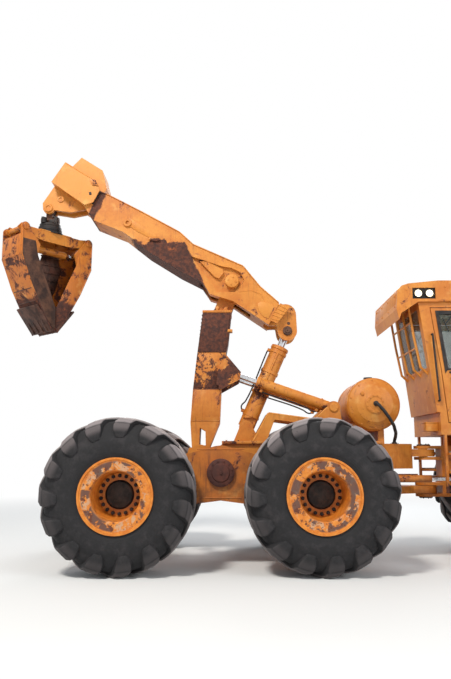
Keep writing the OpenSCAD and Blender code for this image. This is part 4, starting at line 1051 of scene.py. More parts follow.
# %% Tank hose
hose_end = -0.450 - 0.110 - 0.0003
hose_route = [(2.045, hose_end, 2.052), (2.045, hose_end - 0.026, 2.052), (2.056, hose_end - 0.042, 2.042),
              (2.075, hose_end - 0.052, 2.024), (2.102, hose_end - 0.058, 1.990),
              (2.135, hose_end - 0.060, 1.950), (2.170, hose_end - 0.055, 1.902),
              (2.205, hose_end - 0.044, 1.855), (2.238, hose_end - 0.022, 1.807),
              (2.270, hose_end + 0.010, 1.760), (2.294, (hose_end - 0.440) / 2 + 0.005, 1.716),
              (2.315, -0.450, 1.675), (2.325, -0.402, 1.646), (2.332, -0.355, 1.620),
              (2.335, -0.292, 1.583), (2.335, -0.268, 1.556), (2.335, -0.268, 1.5303)]
hose_points = [at(x, z, y) for x, y, z in hose_route]
hose = tube("suction_hose", hose_points, 0.022, rubber, "rear_chassis", 5)
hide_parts("tank_hose")
tank_collar = [(0.0, 0.023), (0.0, 0.036), (0.022, 0.034), (0.026, 0.023)]
deck_collar = [(0.0, 0.023), (0.0, 0.038), (0.018, 0.036), (0.022, 0.023)]
collars = [turned(tank_collar, hose_points[0] + Vector((0, 0.010, 0)), (0, -1, 0), 32),
           turned(deck_collar, hose_points[-1], (0, 0, 1), 32),
           bolt_circle(hose_points[-1], (0, 0, 1), 0.048, 4, 0.007, 0.007, 0.4)]
piece("hose_collars", collars, black_steel, "rear_chassis")

# %% [markdown]
# The grapple hangs turned a little more than half way to the side. Its pieces are easiest to draw
# in its own side view, in which the two tongs swing, and to turn to their place afterwards.

# %% The grapple's own side view
grapple_axis = middle("rotator")
grapple_yaw = math.radians(48)
tong_bodies = {"left": ("tong_l", -1, 0.250), "right": ("tong_r", 1, 0.219)}


def grab_slab(outline, y0, y1, hand=-1, bevel=0.004):
    """A plate drawn for the left tong; hand 1 mirrors it for the right one."""
    ahead = grapple_axis.x - bogie_x
    return slab([(ahead - hand * x, z) for x, z in outline], y0, y1, bevel)


def grab_place(x, z, y, hand=-1):
    return Vector((grapple_axis.x - hand * x, y, z))


def hang(shapes):
    """Turns what was drawn in the grapple's side view about the rotator's axis."""
    bm = joined(shapes)
    turn = Matrix.Rotation(grapple_yaw, 3, "Z")
    bmesh.ops.rotate(bm, verts=bm.verts, cent=(grapple_axis.x, 0, 0), matrix=turn)
    return bm


# %% Outlines of the tongs
cheek_outer = [(-0.600, 4.100), (-0.420, 3.700), (-0.210, 3.330), (-0.070, 3.110), (-0.012, 3.130)]
slim_inner = [(-0.012, 3.420), (-0.110, 3.640), (-0.230, 3.900), (-0.330, 4.120), (-0.380, 4.330)]
bowl_inner = [(0.010, 3.420), (0.020, 3.640), (0.020, 3.900),
              (0.010, 4.200), (-0.030, 4.330), (-0.160, 4.400)]
slim_cheek = [(-0.585, 4.330)] + cheek_outer + slim_inner
bowl_cheek = [(-0.585, 4.390)] + cheek_outer + bowl_inner
near_finish = {"left": cast_steel, "right": tong_paint}
upper_skin = [(-0.603, 4.090), (-0.606, 4.390), (-0.588, 4.390), (-0.584, 4.090)]
tip_skin = [(-0.060, 3.086), (-0.330, 3.420), (-0.310, 3.440), (-0.030, 3.150), (-0.030, 3.092)]
tip_tooth = [(-0.085, 3.092), (-0.185, 3.235), (-0.150, 3.265), (-0.040, 3.110)]
outer_edge = [(-0.588, 4.470), (-0.586, 4.100), (-0.412, 3.700), (-0.204, 3.330), (-0.050, 3.090)]
rib_places = [(-0.560, 4.000), (-0.480, 3.830), (-0.400, 3.650), (-0.310, 3.490), (-0.215, 3.330)]
tong_hinge = (-0.540, 4.500)
knuckle_profile = [(0.0, 0.046), (0.012, 0.050), (0.020, 0.042), (0.022, 0.0)]


def bowl_slats(side, half, hand):
    """Seven level bars across the wide cheek."""
    bars = []
    for k in range(7):
        z = 3.560 + 0.120 * k
        outline = [(-0.430, z), (0.006, z), (0.006, z + 0.022), (-0.430, z + 0.022)]
        bars.append(grab_slab(outline, side * (half - 0.024), side * (half - 0.008), hand, 0.005))
    return bars


# %% Cheeks, skins, worn tips and edges of the tongs
for label, (body, hand, half) in tong_bodies.items():
    for side, place in ((-1, "near"), (1, "far")):
        outline = bowl_cheek if (label, side) == ("right", 1) else slim_cheek
        cheek = [grab_slab(outline, side * (half - 0.009), side * (half + 0.006), hand)]
        if outline is bowl_cheek:
            cheek += bowl_slats(side, half, hand)
        look = near_finish[label] if place == "near" else scoured
        piece("tong_cheek_%s_%s" % (label, place), hang(cheek), look, body)
    skin = [grab_slab(upper_skin, 0.004 - half, half - 0.004, hand)]
    piece("tong_upper_skin_" + label, hang(skin), tong_paint, body)
    tips = [grab_slab(tip_skin, -half - 0.006, half + 0.006, hand, 0.008)]
    tips += [grab_slab(tip_tooth, y - 0.016, y + 0.016, hand, 0.005) for y in (-0.17, -0.06, 0.06, 0.17)]
    piece("tong_tip_" + label, hang(tips), scoured, body)
    ribs = []
    for x, z in rib_places:
        outline = [(x, z), (x + 0.075, z + 0.020), (x + 0.080, z + 0.045), (x + 0.004, z + 0.050)]
        ribs.append(grab_slab(outline, 0.024 - half, half - 0.024, hand))
    piece("tong_ribs_" + label, hang(ribs), scoured, body)
    rims = []
    for side in both_sides:
        axis = (0, side, 0)
        edge_places = [grab_place(x, z, side * half, hand) for x, z in outer_edge]
        rims.append(chain(edge_places, 0.011, 12, ball_at_end=True))
        knuckle = grab_place(*tong_hinge, side * half, hand)
        rims.append(cap(knuckle_profile, knuckle, axis, 32))
        face = knuckle + Vector((0, side * 0.020, 0))
        rims.append(bolt_circle(face, axis, 0.026, 3, 0.008, 0.008, 0.4))
    piece("tong_edges_" + label, hang(rims), tong_paint, body)
print("tong pieces on", [round(v, 3) for v in grapple_axis])

# %% [markdown]
# Above the tongs sits the frame that carries them: two side rails with a tray between, and the
# rotator's flange bolted through it. The link on which all of it hangs has keeper rings.

# %% Grapple head and rotator
def above_grapple(z, x=0.0, y=0.0):
    """A place z above the ground, x and y away from the rotator's axis."""
    return Vector((grapple_axis.x + x, grapple_axis.y + y, z))


head_bars = [rod(grab_place(-0.52, 4.532, y), grab_place(0.52, 4.532, y), 0.024, 20)
             for y in (-0.135, 0.135)]
for x in (-0.40, -0.20, 0.20, 0.40):
    outline = [(x - 0.012, 4.440), (x + 0.012, 4.440), (x + 0.012, 4.520), (x - 0.012, 4.520)]
    head_bars.append(grab_slab(outline, -0.150, 0.150))
piece("grapple_head_bars", hang(head_bars), chipped_paint, "rotator_body")
top_plate = [grab_slab([(-0.262, 4.539), (0.262, 4.539), (0.262, 4.553), (-0.262, 4.553)], -0.175, 0.175)]
piece("grapple_top_plate", hang(top_plate), clean_paint, "rotator_body")
flange = [bolt_circle(above_grapple(4.5605), (0, 0, 1), 0.180, 12, 0.013, 0.014),
          bolt_circle(above_grapple(4.660), (0, 0, 1), 0.130, 12, 0.011, 0.014),
          ring(0.163, 0.172, 0.022, above_grapple(4.600), (0, 0, 1), 56)]
piece("rotator_bolts", flange, black_steel, "rotator_body")
motor_profile = [(0.0, 0.040), (0.075, 0.040), (0.082, 0.032)]
motor = [cap(motor_profile, above_grapple(4.704, -0.060, -0.118), (0, 0, 1), 32),
         block(above_grapple(4.704, 0.020, -0.140), above_grapple(4.752, 0.090, -0.085))]
piece("rotator_motor", motor, black_steel, "swivel_body")
link = middle("hang_link")
keepers = []
for side in both_sides:
    place = Vector((link.x + side * 0.115, link.y, 4.770))
    keepers.append(ring(0.034, 0.054, 0.012, place, (side, 0, 0)))
    keepers.append(bolts([place], (side, 0, 0), 0.022, 0.018))
piece("swivel_pin_keepers", keepers, cast_steel, "swivel_body")
print("grapple head ready")

# %% [markdown]
# Each bogie hangs on the rear axle under a round bolted cover, with a plug on either side of it.
# The beams are welded boxes, so a seam runs along their edges, and a ring stands round each hub.

# %% Bogie covers
bogie_face = 0.810
bogie_pivot_z = 1.160
hub_reach = hubs["mr"].x - bogie_x
cover_profile = [(-0.006, 0.176), (0.006, 0.176), (0.010, 0.170),
                 (0.010, 0.118), (0.022, 0.108), (0.026, 0.060)]
guard_profile = [(0.0, 0.152), (0.0, 0.166), (0.018, 0.164), (0.018, 0.152)]
for label, side in named_sides:
    axis = (0, side, 0)
    face = at(0.0, bogie_pivot_z, side * (bogie_face + 0.035))
    cover = [cap(cover_profile, face, axis, 64),
             bolt_circle(face + Vector((0, side * 0.008, 0)), axis, 0.146, 12, 0.012, 0.012),
             bolts([face + Vector((0, side * 0.024, 0))], axis, 0.020, 0.018)]
    piece("bogie_cover_" + label, cover, cover_rust, "rear_chassis")
    y = side * bogie_face
    trim = [rod(at(-0.30, 1.452, y), at(0.30, 1.452, y), 0.008, 10, 0),
            rod(at(-0.26, 0.850, y), at(0.26, 0.850, y), 0.008, 10, 0)]
    for way in both_sides:
        trim.append(bolts([at(way * 0.300, 1.020, y)], axis, 0.018, 0.016))
        trim.append(turned(guard_profile, at(way * hub_reach, hub_z, y), axis, 56))
    piece("bogie_trim_" + label, trim, dirty_paint, "rear_chassis")

# %% [markdown]
# The rear frame is a box with a wide flange along its top. Bolted plates close its sides, the
# tower that takes the tilt cylinders has rolled edges, and hard oil pipes run over the deck.

# %% Rear frame
deck_z = 1.530
frame_side = 0.420
bolt_pitch = 0.16
flanges = []
hatches = []
for side in both_sides:
    for x0, x1 in ((0.010, 0.560), (0.600, 2.140)):
        low, high = sorted((side * (frame_side - 0.030), side * (frame_side + 0.045)))
        flanges.append(block(at(x0, deck_z - 0.004, low), at(x1, deck_z + 0.034, high), 0.005))
        count = int((x1 - x0 - 0.06) / bolt_pitch) + 1
        spots = [at(x0 + 0.06 + bolt_pitch * k, deck_z + 0.033, side * frame_side) for k in range(count)]
        flanges.append(bolts(spots, (0, 0, 1), 0.013, 0.013))
    for x0, x1 in ((0.66, 1.02), (1.34, 1.80)):
        outline = [(x0, 1.215), (x1, 1.215), (x1, 1.455), (x0, 1.455)]
        y = side * frame_side - 0.002
        hatches.append(slab(outline, y, y + side * 0.008, 0.002))
        bolt_line = (x0 + 0.03, (x0 + x1) / 2, x1 - 0.03)
        spots = [at(x, z, side * (frame_side + 0.005)) for x in bolt_line for z in (1.245, 1.425)]
        hatches.append(bolts(spots, (0, side, 0), 0.011, 0.009))
piece("frame_top_flanges", flanges, chipped_paint, "rear_chassis")
piece("frame_side_hatches", hatches, yellow_paint, "rear_chassis")

# %% Tower edges, deck pipes and their manifolds
tower_edge = [(0.430, 1.560), (0.640, 1.938), (1.260, 1.853), (1.435, 2.012)]
tower_cap = [(0.0, 0.056), (0.010, 0.060), (0.020, 0.050), (0.022, 0.0)]
tower = []
for side in both_sides:
    axis = (0, side, 0)
    for y in (0.149, 0.334):
        places = [at(x, z, side * y) for x, z in tower_edge]
        tower += [rod(start, end, 0.014, 14, 0) for start, end in zip(places, places[1:])]
    face = at(1.520, 2.010, side * 0.345)
    tower.append(cap(tower_cap, face, axis, 36))
    tower.append(bolt_circle(face + Vector((0, side * 0.018, 0)), axis, 0.034, 3, 0.008, 0.008, 0.3))
piece("tower_edges", tower, clean_paint, "rear_chassis")
pipe_line = [(0.62, 0.012), (0.80, 0.016), (1.40, 0.016), (1.74, 0.016), (1.772, 0.040)]
for k, y in enumerate((-0.245, -0.215, 0.215, 0.245)):
    route = [at(x, deck_z + lift, y) for x, lift in pipe_line]
    tube("deck_pipe_%d" % (k + 1), route, 0.010, black_steel, "rear_chassis")
manifolds = [block(at(0.60, deck_z + 0.001, y), at(0.72, deck_z + 0.060, y + 0.090), 0.006)
             for y in (-0.275, 0.185)]
piece("deck_manifolds", manifolds, cast_steel, "rear_chassis")
print("frame flanges on", frame_side)

# %% [markdown]
# Under the cab the machine bends at two pins. Each ends in a bolted cap. Ring bolts hold the
# axle's round cover, and a guard box for valves sits low behind the cab.

# %% Articulation, axles and the valve box
pin_caps = []
for z, up in ((1.505, 1), (0.825, -1)):
    place = at(2.800, z)
    pin_caps.append(cap([(-0.004, 0.092), (0.014, 0.092), (0.020, 0.084)], place, (0, 0, up), 40))
    spots = round_places(place + Vector((0, 0, up * 0.018)), (0, 0, 1), 0.066, 6)
    pin_caps.append(bolts(spots, (0, 0, up), 0.010, 0.010))
piece("steering_pin_caps", pin_caps, cast_steel, "front_chassis")
axle_covers = (("rear", 0.0, bogie_pivot_z, 0.268, 0.120), ("front", front_axle_x, hub_z, 0.228, 0.110))
for label, x, z, reach, r in axle_covers:
    cover = []
    for way in both_sides:
        face = at(x + way * reach, z)
        profile = [(-0.010, r + 0.012), (0.004, r + 0.008), (0.022, r * 0.6), (0.026, 0.0)]
        cover.append(cap(profile, face, (way, 0, 0), 40))
        spots = round_places(face - Vector((way * 0.004, 0, 0)), (1, 0, 0), r - 0.012, 10)
        cover.append(bolts(spots, (way, 0, 0), 0.010, 0.014))
    piece("axle_cover_" + label, cover, cast_steel, label + "_chassis")
valve_box = [block(at(2.700, 1.690, -0.520), at(2.858, 1.800, -0.300), 0.008),
             block(at(2.694, 1.796, -0.526), at(2.860, 1.806, -0.294), 0.003),
             bolts([at(2.720, 1.806, y) for y in (-0.500, -0.320)], (0, 0, 1), 0.009, 0.008)]
piece("valve_box", valve_box, clean_paint, "front_chassis")
print("articulation ready")

# %% [markdown]
# The cab is a box of thin posts with glass between. Guard tubes run down behind its rear window,
# the roof carries a bolted panel and two pairs of lamps, and each door has a rubber seal round
# its panes, a wiper and a pull handle.

# %% Cab guards, roof panel and rails
cab_side = 0.640
roof_side = 0.680
lamp_z = 3.515
guard_line = [(2.545, 3.365), (2.600, 2.950), (2.672, 2.540), (2.775, 2.440)]
guard_half = 0.500
guards = [chain([at(x, z, y) for x, z in guard_line], 0.017)
          for y in (-guard_half, -0.170, 0.170, guard_half)]
for x, z in ((2.572, 3.150), (2.626, 2.800)):
    guards.append(rod(at(x, z, -guard_half), at(x, z, guard_half), 0.013, 16, 0))
piece("cab_guard_tubes", guards, clean_paint, "front_chassis")

rail_line = [(2.850, 2.080, -0.002), (2.850, 2.080, 0.045), (2.800, 2.960, 0.045), (2.800, 2.960, -0.002)]
rails = [chain([at(x, z, side * (cab_side + out)) for x, z, out in rail_line], 0.013)
         for side in both_sides]
piece("cab_grab_rails", rails, black_steel, "front_chassis")

gutter = [(2.905, 3.405), (4.130, 3.425), (4.130, 3.440), (2.905, 3.420)]
roof_bolts = [(2.460, 3.330), (2.480, 3.560), (3.000, 3.600), (3.500, 3.600), (4.000, 3.600)]
roof_back = 2.346
roof_trim = [block(at(roof_back, 3.330, -0.600), at(roof_back + 0.010, 3.520, 0.600), 0.003)]
for side in both_sides:
    roof_trim.append(slab(gutter, side * 0.678, side * 0.690, 0.003))
    roof_trim.append(bolts([at(x, z, side * roof_side) for x, z in roof_bolts], (0, side, 0), 0.010, 0.009))
panel_bolts = [at(roof_back, z, y) for y in (-0.560, -0.190, 0.190, 0.560) for z in (3.355, 3.495)]
roof_trim.append(bolts(panel_bolts, (-1, 0, 0), 0.012, 0.010))
piece("roof_panel", roof_trim, yellow_paint, "front_chassis")

bezel_profile = [(-0.016, 0.047), (-0.016, 0.066), (0.004, 0.064), (0.007, 0.058), (0.003, 0.047)]
bezels = []
for side in both_sides:
    for x in (2.640, 2.790):
        bezels.append(turned(bezel_profile, at(x, lamp_z, side * 0.676), (0, side, 0), 36))
    bezels.append(block(at(2.563, 3.443, side * 0.654), at(2.867, 3.587, side * 0.661), 0.001))
piece("lamp_bezels", bezels, black_steel, "front_chassis")
print("cab side at", cab_side)

# %% Doors: seals, dark borders, handles and wipers
upper_pane = [(2.995, 2.500), (2.900, 3.240), (3.800, 3.240), (3.815, 2.500)]
lower_pane = [(3.040, 1.900), (3.030, 2.380), (3.815, 2.380), (3.815, 1.900)]
border_edge = [(2.955, 2.440), (2.862, 3.285), (3.840, 3.285), (3.850, 2.460)]
border_strips = [[border_edge[k], upper_pane[k], upper_pane[k + 1], border_edge[k + 1]] for k in range(3)]
border_strips.append([(2.965, 2.482), (3.850, 2.482), (3.815, 2.500), (2.995, 2.500)])
wiper_line = [(3.120, 3.262, 0.646), (3.120, 3.262, 0.660), (2.985, 3.100, 0.650)]
handle_line = [(3.060, 0.640), (3.060, 0.672), (3.165, 0.672), (3.165, 0.640)]
handle_z = 2.455
for label, side in named_sides:
    body = "cab_door_" + label[0]
    seals = []
    for pane in (upper_pane, lower_pane):
        corners = [at(x, z, side * (cab_side - 0.006)) for x, z in pane]
        seals.append(chain(corners + corners[:2], 0.009, 10))
    seals.append(chain([at(x, z, side * y) for x, z, y in wiper_line], 0.007, 10))
    seals.append(rod(at(2.955, 3.180, side * 0.648), at(3.030, 2.990, side * 0.648), 0.006, 8, 0))
    piece("door_seals_" + label, seals, rubber, body)
    border = [slab(strip, side * (cab_side - 0.002), side * (cab_side + 0.0025), 0)
              for strip in border_strips]
    piece("door_dark_border_" + label, border, black_steel, body)
    low, high = at(3.045, handle_z - 0.020, side * 0.636), at(3.180, handle_z + 0.020, side * 0.646)
    handle = [block(low, high),
              chain([at(x, handle_z, side * y) for x, y in handle_line], 0.007, 10),
              bolts([at(3.020, handle_z, side * 0.636)], (0, side, 0), 0.014, 0.010, 16)]
    piece("door_handle_" + label, handle, black_steel, body)
print("doors ready")

# %% [markdown]
# Through the glass show the wheel, two pairs of levers and the seat. The seat's cushions are
# padded: each starts as a slightly small block, is remeshed fine, and is blown up a little as
# cloth, so that its faces crown and its edges pull in as a real cushion's do.

# %% Steering wheel, levers and pedals
wheel_middle = at(3.6175, 2.400)
column = Vector((-math.sin(math.radians(60)), 0, math.cos(math.radians(60))))
grip_radius, grip_circle = 0.014, 0.180
grip = [(grip_radius * math.cos(math.tau * k / 12), grip_circle + grip_radius * math.sin(math.tau * k / 12))
        for k in range(12)]
wheel = [turned(grip, wheel_middle + column * 0.012, column, 56),
         cap([(-0.020, 0.036), (0.018, 0.040), (0.024, 0.030)], wheel_middle, column, 24)]
for place in round_places(wheel_middle + column * 0.008, column, grip_circle - 0.002, 3, 0.5):
    wheel.append(rod(wheel_middle + column * 0.004, place, 0.009, 10, 0))
piece("steering_wheel", wheel, plastic, "front_chassis")

arm_top = 2.188
arm_y = 0.330
knob = [(0.006, 0.018), (0.026, 0.024), (0.046, 0.018)]
levers = []
for side in both_sides:
    y = side * arm_y
    for x in (3.560, 3.640):
        top = at(x + 0.018, 2.330, y)
        levers.append(rod(at(x, arm_top, y), top, 0.007, 10, 0))
        levers.append(turned([(0.0, 0.0)] + knob + [(0.052, 0.0)], top, (0, 0, 1), 20))
    levers.append(block(at(3.240, arm_top, y - 0.050), at(3.480, arm_top + 0.028, y + 0.050), 0.012))
    pedal_y = side * 0.110
    levers.append(block(at(3.740, 1.790, pedal_y - 0.040), at(3.775, 1.900, pedal_y + 0.040), 0.006))
piece("levers_and_pedals", levers, plastic, "front_chassis")
print("controls ready")


# %% Padded seat
def fabric():
    f = Finish("seat_fabric", Sheen_Weight=0.25)
    weave = (f.x * 900).wave() * (f.y * 900).wave()
    worn = f.noise(7, 5, 0.6).over(0.45, 0.75)
    colour = f.mix(worn * 0.5, rgb(38, 38, 42), rgb(86, 78, 70))
    return f.done(colour, 0.82 + worn * 0.12, height=weave * 0.3 + f.noise(40, 4, 0.7), depth=0.0012)


def crowned(bm, most=0.010):
    """Blows a block up as cloth under pressure. No point moves further than most."""
    start = bpy.data.meshes.new("pad_start")
    bm.to_mesh(start)
    bm.free()
    pad = bpy.data.objects.new("pad", start)
    bpy.context.scene.collection.objects.link(pad)
    remesh = pad.modifiers.new("remesh", "REMESH")
    remesh.mode = "VOXEL"
    remesh.voxel_size = 0.006
    fine = bpy.data.meshes.new_from_object(pad.evaluated_get(bpy.context.evaluated_depsgraph_get()))
    pad.modifiers.clear()
    pad.data = fine
    before = [v.co.copy() for v in fine.vertices]
    cloth = pad.modifiers.new("cloth", "CLOTH")
    cloth.settings.use_pressure = True
    cloth.settings.uniform_pressure_force = 4.0
    cloth.settings.effector_weights.gravity = 0.0
    for step in range(1, 21):
        bpy.context.scene.frame_set(step)
    blown = pad.evaluated_get(bpy.context.evaluated_depsgraph_get()).to_mesh()
    after = [v.co.copy() for v in blown.vertices]
    pad.modifiers.clear()
    bpy.context.scene.frame_set(1)
    for v, old, new in zip(fine.vertices, before, after):
        move = new - old
        v.co = old + (move if move.length <= most else move.normalized() * most)
    result = bmesh.new()
    result.from_mesh(pad.data)
    bpy.data.objects.remove(pad)
    return result


def lean_back(bm):
    """Tips what was drawn upright back about the foot of the backrest."""
    turn = Matrix.Rotation(math.radians(-8), 3, "Y")
    bmesh.ops.rotate(bm, verts=bm.verts, cent=at(3.120, 2.100), matrix=turn)
    return bm


seat_cloth = fabric()
base_pad = crowned(block(at(3.215, 2.078, -0.215), at(3.645, 2.158, 0.215), 0.028, 4))
back_pad = crowned(lean_back(block(at(3.136, 2.130, -0.205), at(3.200, 2.700, 0.205), 0.030, 4)))
for name, bm in (("seat_base_pad", base_pad), ("seat_back_pad", back_pad)):
    pad = piece(name, bm, seat_cloth, "front_chassis", 60)
    smooth = pad.modifiers.new("smooth", "SUBSURF")
    smooth.levels = smooth.render_levels = 1
    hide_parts("seat")

shell = [block(at(3.205, 2.062, -0.225), at(3.655, 2.080, 0.225), 0.006),
         block(at(3.335, 1.762, -0.105), at(3.545, 2.062, 0.105), 0.012),
         lean_back(block(at(3.124, 2.110, -0.190), at(3.138, 2.680, 0.190), 0.030, 4))]
for k in range(6):
    z = 1.800 + 0.040 * k
    shell.append(block(at(3.330, z, -0.110), at(3.550, z + 0.022, 0.110), 0.008))
seat_frame = piece("seat_frame", shell, plastic, "front_chassis")
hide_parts("seat")
print("seat pads ready")

# %% [markdown]
# The nose holds the engine behind slotted doors. Each slot gets a pressed lip, the grille gets
# a guard of upright bars, and the pipe on top gets its clamps and rain flap.

# %% Hood doors
door_face = 0.518
slot_ends = (4.490, 5.202)
latch_places = (4.380, 5.330)
latch_z = 1.830
latch_profile = [(0.0, 0.024), (0.008, 0.024), (0.012, 0.018)]
for label, side in named_sides:
    body = "hood_door_" + label[0]
    lips = []
    for k in range(5):
        z = 1.844 + 0.068 * k
        outline = [(slot_ends[0], z), (slot_ends[1], z), (slot_ends[1], z + 0.010),
                   (slot_ends[0], z + 0.010)]
        lips.append(slab(outline, side * 0.516, side * 0.536, 0.003))
        for x in (slot_ends[0], slot_ends[1] - 0.010):
            low, high = at(x, z - 0.016, side * 0.520), at(x + 0.010, z + 0.008, side * 0.534)
            lips.append(block(low, high, 0.002))
    piece("hood_louvres_" + label, lips, yellow_paint, body)
    latches = []
    for x in latch_places:
        latches.append(cap(latch_profile, at(x, latch_z, side * door_face), (0, side, 0), 24))
        low = at(x - 0.030, latch_z - 0.006, side * 0.528)
        high = at(x + 0.030, latch_z + 0.006, side * 0.542)
        latches.append(block(low, high, 0.003))
    piece("hood_latches_" + label, latches, black_steel, body)
print("hood doors ready")

# %% Grille guard, headlamps and the hood's top
upright = [(5.596, 1.660), (5.620, 1.700), (5.620, 2.140), (5.596, 2.180)]
bar = [(5.600, -0.430), (5.622, -0.400), (5.622, 0.400), (5.600, 0.430)]
guard = []
for y in (-0.320, -0.160, 0.0, 0.160, 0.320):
    guard.append(chain([at(x, z, y) for x, z in upright], 0.010, 12))
for z in (1.760, 2.080):
    guard.append(chain([at(x, z, y) for x, y in bar], 0.010, 12))
piece("grille_guard", guard, clean_paint, "front_chassis")

lamp_ring = [(-0.004, 0.0), (-0.004, 0.050), (0.026, 0.048), (0.032, 0.042), (0.024, 0.040), (0.020, 0.0)]
lamp_places = [at(5.600, 1.700, side * 0.460) for side in both_sides]
rings = [turned(lamp_ring, place, (1, 0, 0), 32) for place in lamp_places]
piece("headlamp_rings", rings, black_steel, "front_chassis")
lens = [(0.020, 0.0), (0.020, 0.040), (0.026, 0.030), (0.029, 0.0)]
lenses = [turned(lens, place, (1, 0, 0), 32) for place in lamp_places]
piece("headlamp_lenses", lenses, lamp_lens, "front_chassis")

hood_back, hood_front = (4.250, 2.440), (5.500, 2.330)
hood_fall = (hood_back[1] - hood_front[1]) / (hood_front[0] - hood_back[0])
collar = [(0.0, 0.044), (0.020, 0.048), (0.030, 0.040), (0.032, 0.0)]
fittings = [cap(collar, at(5.120, 2.356, -0.100), (0, 0, 1), 28)]
for x in (4.420, 5.300):
    z = hood_back[1] - (x - hood_back[0]) * hood_fall + 0.012
    for y in (-0.440, 0.440):
        fittings.append(ring(0.018, 0.030, 0.028, at(x, z, y - 0.014), (0, 1, 0), 24))
for y in (-0.522, 0.522):
    fittings.append(rod(at(4.260, 2.437, y), at(5.500, 2.329, y), 0.006, 8, 0))
piece("hood_top_fittings", fittings, black_steel, "front_chassis")

# %% Exhaust clamps and rain flap
pipe = middle("exhaust")
stack = [cap([(0.0, 0.044), (0.006, 0.044)], Vector((pipe.x, pipe.y, 3.1935)), (0.20, 0, 1), 32),
         block((pipe.x - 0.060, pipe.y - 0.012, 3.150), (pipe.x - 0.040, pipe.y + 0.012, 3.200), 0.003)]
for z in (2.398, 2.600, 2.846):
    stack.append(ring(0.070, 0.077, 0.022, Vector((pipe.x, pipe.y, z)), (0, 0, 1), 40))
    stack.append(bolts([Vector((pipe.x - 0.076, pipe.y, z + 0.011))], (-1, 0, 0), 0.009, 0.014))
piece("exhaust_clamps", stack, exhaust_finish, "front_chassis")
print("hood and exhaust ready")

# %% [markdown]
# Behind the doors the engine shows its pulleys, filters and cover. The steps get raised studs
# that grip a boot, and dry mud lies on them.

# %% Engine fittings
engine_front = 5.298
filter_profile = [(0.0, 0.050), (0.150, 0.050), (0.162, 0.040)]
motor = []
for y, z, r in ((0.0, 1.700, 0.120), (-0.170, 1.860, 0.070), (0.170, 1.900, 0.060)):
    groove = [(0.0, r), (0.010, r), (0.020, r * 0.86), (0.030, r), (0.040, r)]
    motor.append(cap(groove, at(engine_front, z, y), (1, 0, 0), 40))
for side in both_sides:
    motor.append(cap(filter_profile, at(4.560, 1.640, side * 0.355), (0, 0, 1), 28))
    motor.append(block(at(4.480, 1.800, side * 0.296), at(4.640, 1.840, side * 0.340), 0.006))
    for x in (4.440, 4.660, 4.880, 5.100):
        motor.append(block(at(x, 1.930, side * 0.296), at(x + 0.140, 2.070, side * 0.335), 0.014))
motor.append(block(at(4.380, 2.178, -0.140), at(5.220, 2.230, 0.140), 0.016))
cover_bolts = [at(x, 2.228, y) for x in (4.420, 4.620, 4.820, 5.020, 5.180) for y in (-0.115, 0.115)]
motor.append(bolts(cover_bolts, (0, 0, 1), 0.010, 0.010))
piece("engine_fittings", motor, engine_iron, "front_chassis")

# %% Steps and blade
studs = []
for side in both_sides:
    for z in (0.950, 1.180, 1.410):
        for row in range(3):
            spots = [at(2.962 + 0.036 * k, z - 0.001, side * (0.612 + 0.032 * row)) for k in range(8)]
            studs.append(bolts(spots, (0, 0, 1), 0.008, 0.006, 8))
        rim = [(2.930, z), (3.240, z), (3.240, z + 0.016), (2.930, z + 0.016)]
        studs.append(slab(rim, side * 0.694, side * 0.700, 0.002))
piece("step_studs", studs, dry_mud, "front_chassis")

blade_half = 1.250
edge_turn = (0.66, 0, -0.75)
edge_outline = [(6.006, 0.404), (6.090, 0.478), (6.084, 0.490), (5.998, 0.416)]
edge = [slab(edge_outline, -blade_half, blade_half),
        bolts([at(6.048, 0.441, -1.15 + 0.23 * k) for k in range(11)], edge_turn, 0.016, 0.012)]
piece("blade_cutting_edge", edge, scoured, "blade_body")
rib_outline = [(5.992, 0.440), (6.040, 0.492), (6.080, 0.656), (6.080, 0.968), (6.056, 1.120),
               (6.026, 0.960), (6.026, 0.660)]
back_ribs = [slab(rib_outline, y - 0.014, y + 0.014, 0.003) for y in (-1.00, -0.28, 0.28, 1.00)]
bar_half = blade_half - 0.005
back_ribs.append(rod(at(6.066, 1.136, -bar_half), at(6.066, 1.136, bar_half), 0.020, 20))
piece("blade_back_ribs", back_ribs, chipped_paint, "blade_body")
print("engine, steps and blade ready")

# %% [markdown]
# The stage is a plain pale floor. The light is a wide soft sky with one large lamp high on the
# right, as on a bright day, and two weaker lamps that fill the shade. The sky is white where the
# camera looks, also by a mirror or through glass.

# %% Nodes outside the finishes
def node_in(tree, kind, *inputs, **settings):
    """Adds a node, sets it, and fills its sockets in order with values or with links."""
    node = tree.nodes.new(kind)
    for key, value in settings.items():
        setattr(node, key, value)
    for socket, value in zip(node.inputs, inputs):
        if isinstance(value, bpy.types.NodeSocket):
            tree.links.new(value, socket)
        else:
            socket.default_value = value
    return node.outputs


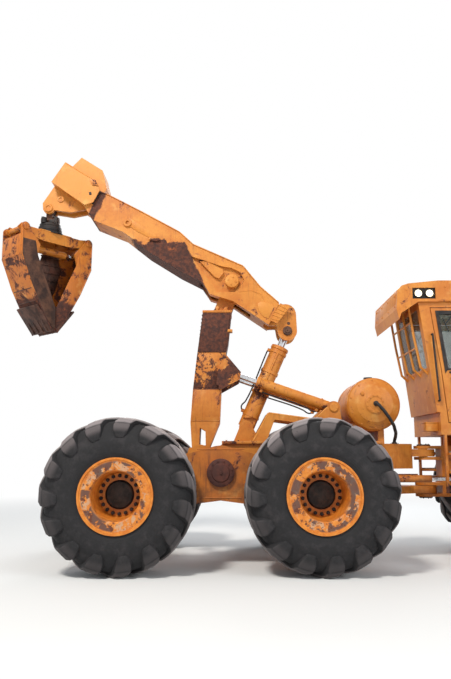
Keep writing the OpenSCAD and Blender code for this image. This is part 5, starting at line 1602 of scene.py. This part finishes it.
# %% Floor
def floor_finish():
    """Pale grey near the machine, fading to pure white between 7 and 17 m."""
    mat = bpy.data.materials.new("floor_grey")
    mat.use_nodes = True
    tree = mat.node_tree
    shader = tree.nodes["Principled BSDF"]
    shader.inputs["Base Color"].default_value = (0.80, 0.80, 0.79, 1)
    shader.inputs["Roughness"].default_value = 0.9
    white = node_in(tree, "ShaderNodeEmission")
    where = node_in(tree, "ShaderNodeTexCoord")
    reach = node_in(tree, "ShaderNodeVectorMath", where["Object"], operation="LENGTH")
    fade = node_in(tree, "ShaderNodeMapRange", reach["Value"], 7.0, 17.0, interpolation_type="SMOOTHSTEP")
    blend = node_in(tree, "ShaderNodeMixShader", fade["Result"], shader.outputs[0], white[0])
    tree.links.new(blend[0], tree.nodes["Material Output"].inputs["Surface"])
    return mat


floor_mesh = bpy.data.meshes.new("floor")
bm = bmesh.new()
bmesh.ops.create_grid(bm, x_segments=1, y_segments=1, size=60)
bm.to_mesh(floor_mesh)
bm.free()
floor_mesh.materials.append(floor_finish())
floor = bpy.data.objects.new("floor", floor_mesh)
bpy.context.scene.collection.objects.link(floor)

# %% World and lamps
world = bpy.data.worlds.new("sky")
bpy.context.scene.world = world
world.use_nodes = True
sky = world.node_tree
sky.nodes.clear()
path = node_in(sky, "ShaderNodeLightPath")
soft = node_in(sky, "ShaderNodeBackground", (0.90, 0.95, 1.0, 1), 0.52)
white = node_in(sky, "ShaderNodeBackground", (1, 1, 1, 1), 1.0)
either = node_in(sky, "ShaderNodeMath", path["Is Camera Ray"], path["Is Glossy Ray"], operation="MAXIMUM")
any_ray = node_in(sky, "ShaderNodeMath", either[0], path["Is Transmission Ray"], operation="MAXIMUM")
pick = node_in(sky, "ShaderNodeMixShader", any_ray[0], soft[0], white[0])
node_in(sky, "ShaderNodeOutputWorld", pick[0])


def lamp(name, place, target, size, power, colour):
    data = bpy.data.lights.new(name, "AREA")
    data.shape = "DISK"
    data.size = size
    data.energy = power
    data.color = colour
    made = bpy.data.objects.new(name, data)
    made.location = place
    made.rotation_euler = (Vector(target) - Vector(place)).to_track_quat("-Z", "Y").to_euler()
    bpy.context.scene.collection.objects.link(made)


lamp("sun_lamp", (-7.0, -11.0, 15.0), (0, 0, 1.8), 3.0, 2500, (1.0, 0.96, 0.90))
lamp("fill_lamp", (9.0, -9.0, 6.0), (0, 0, 2.0), 6.0, 500, (0.92, 0.96, 1.0))
lamp("back_lamp", (2.0, 12.0, 9.0), (0, 0, 2.0), 6.0, 700, (0.95, 0.97, 1.0))

bpy.context.scene.view_settings.view_transform = "Standard"
print("stage ready")
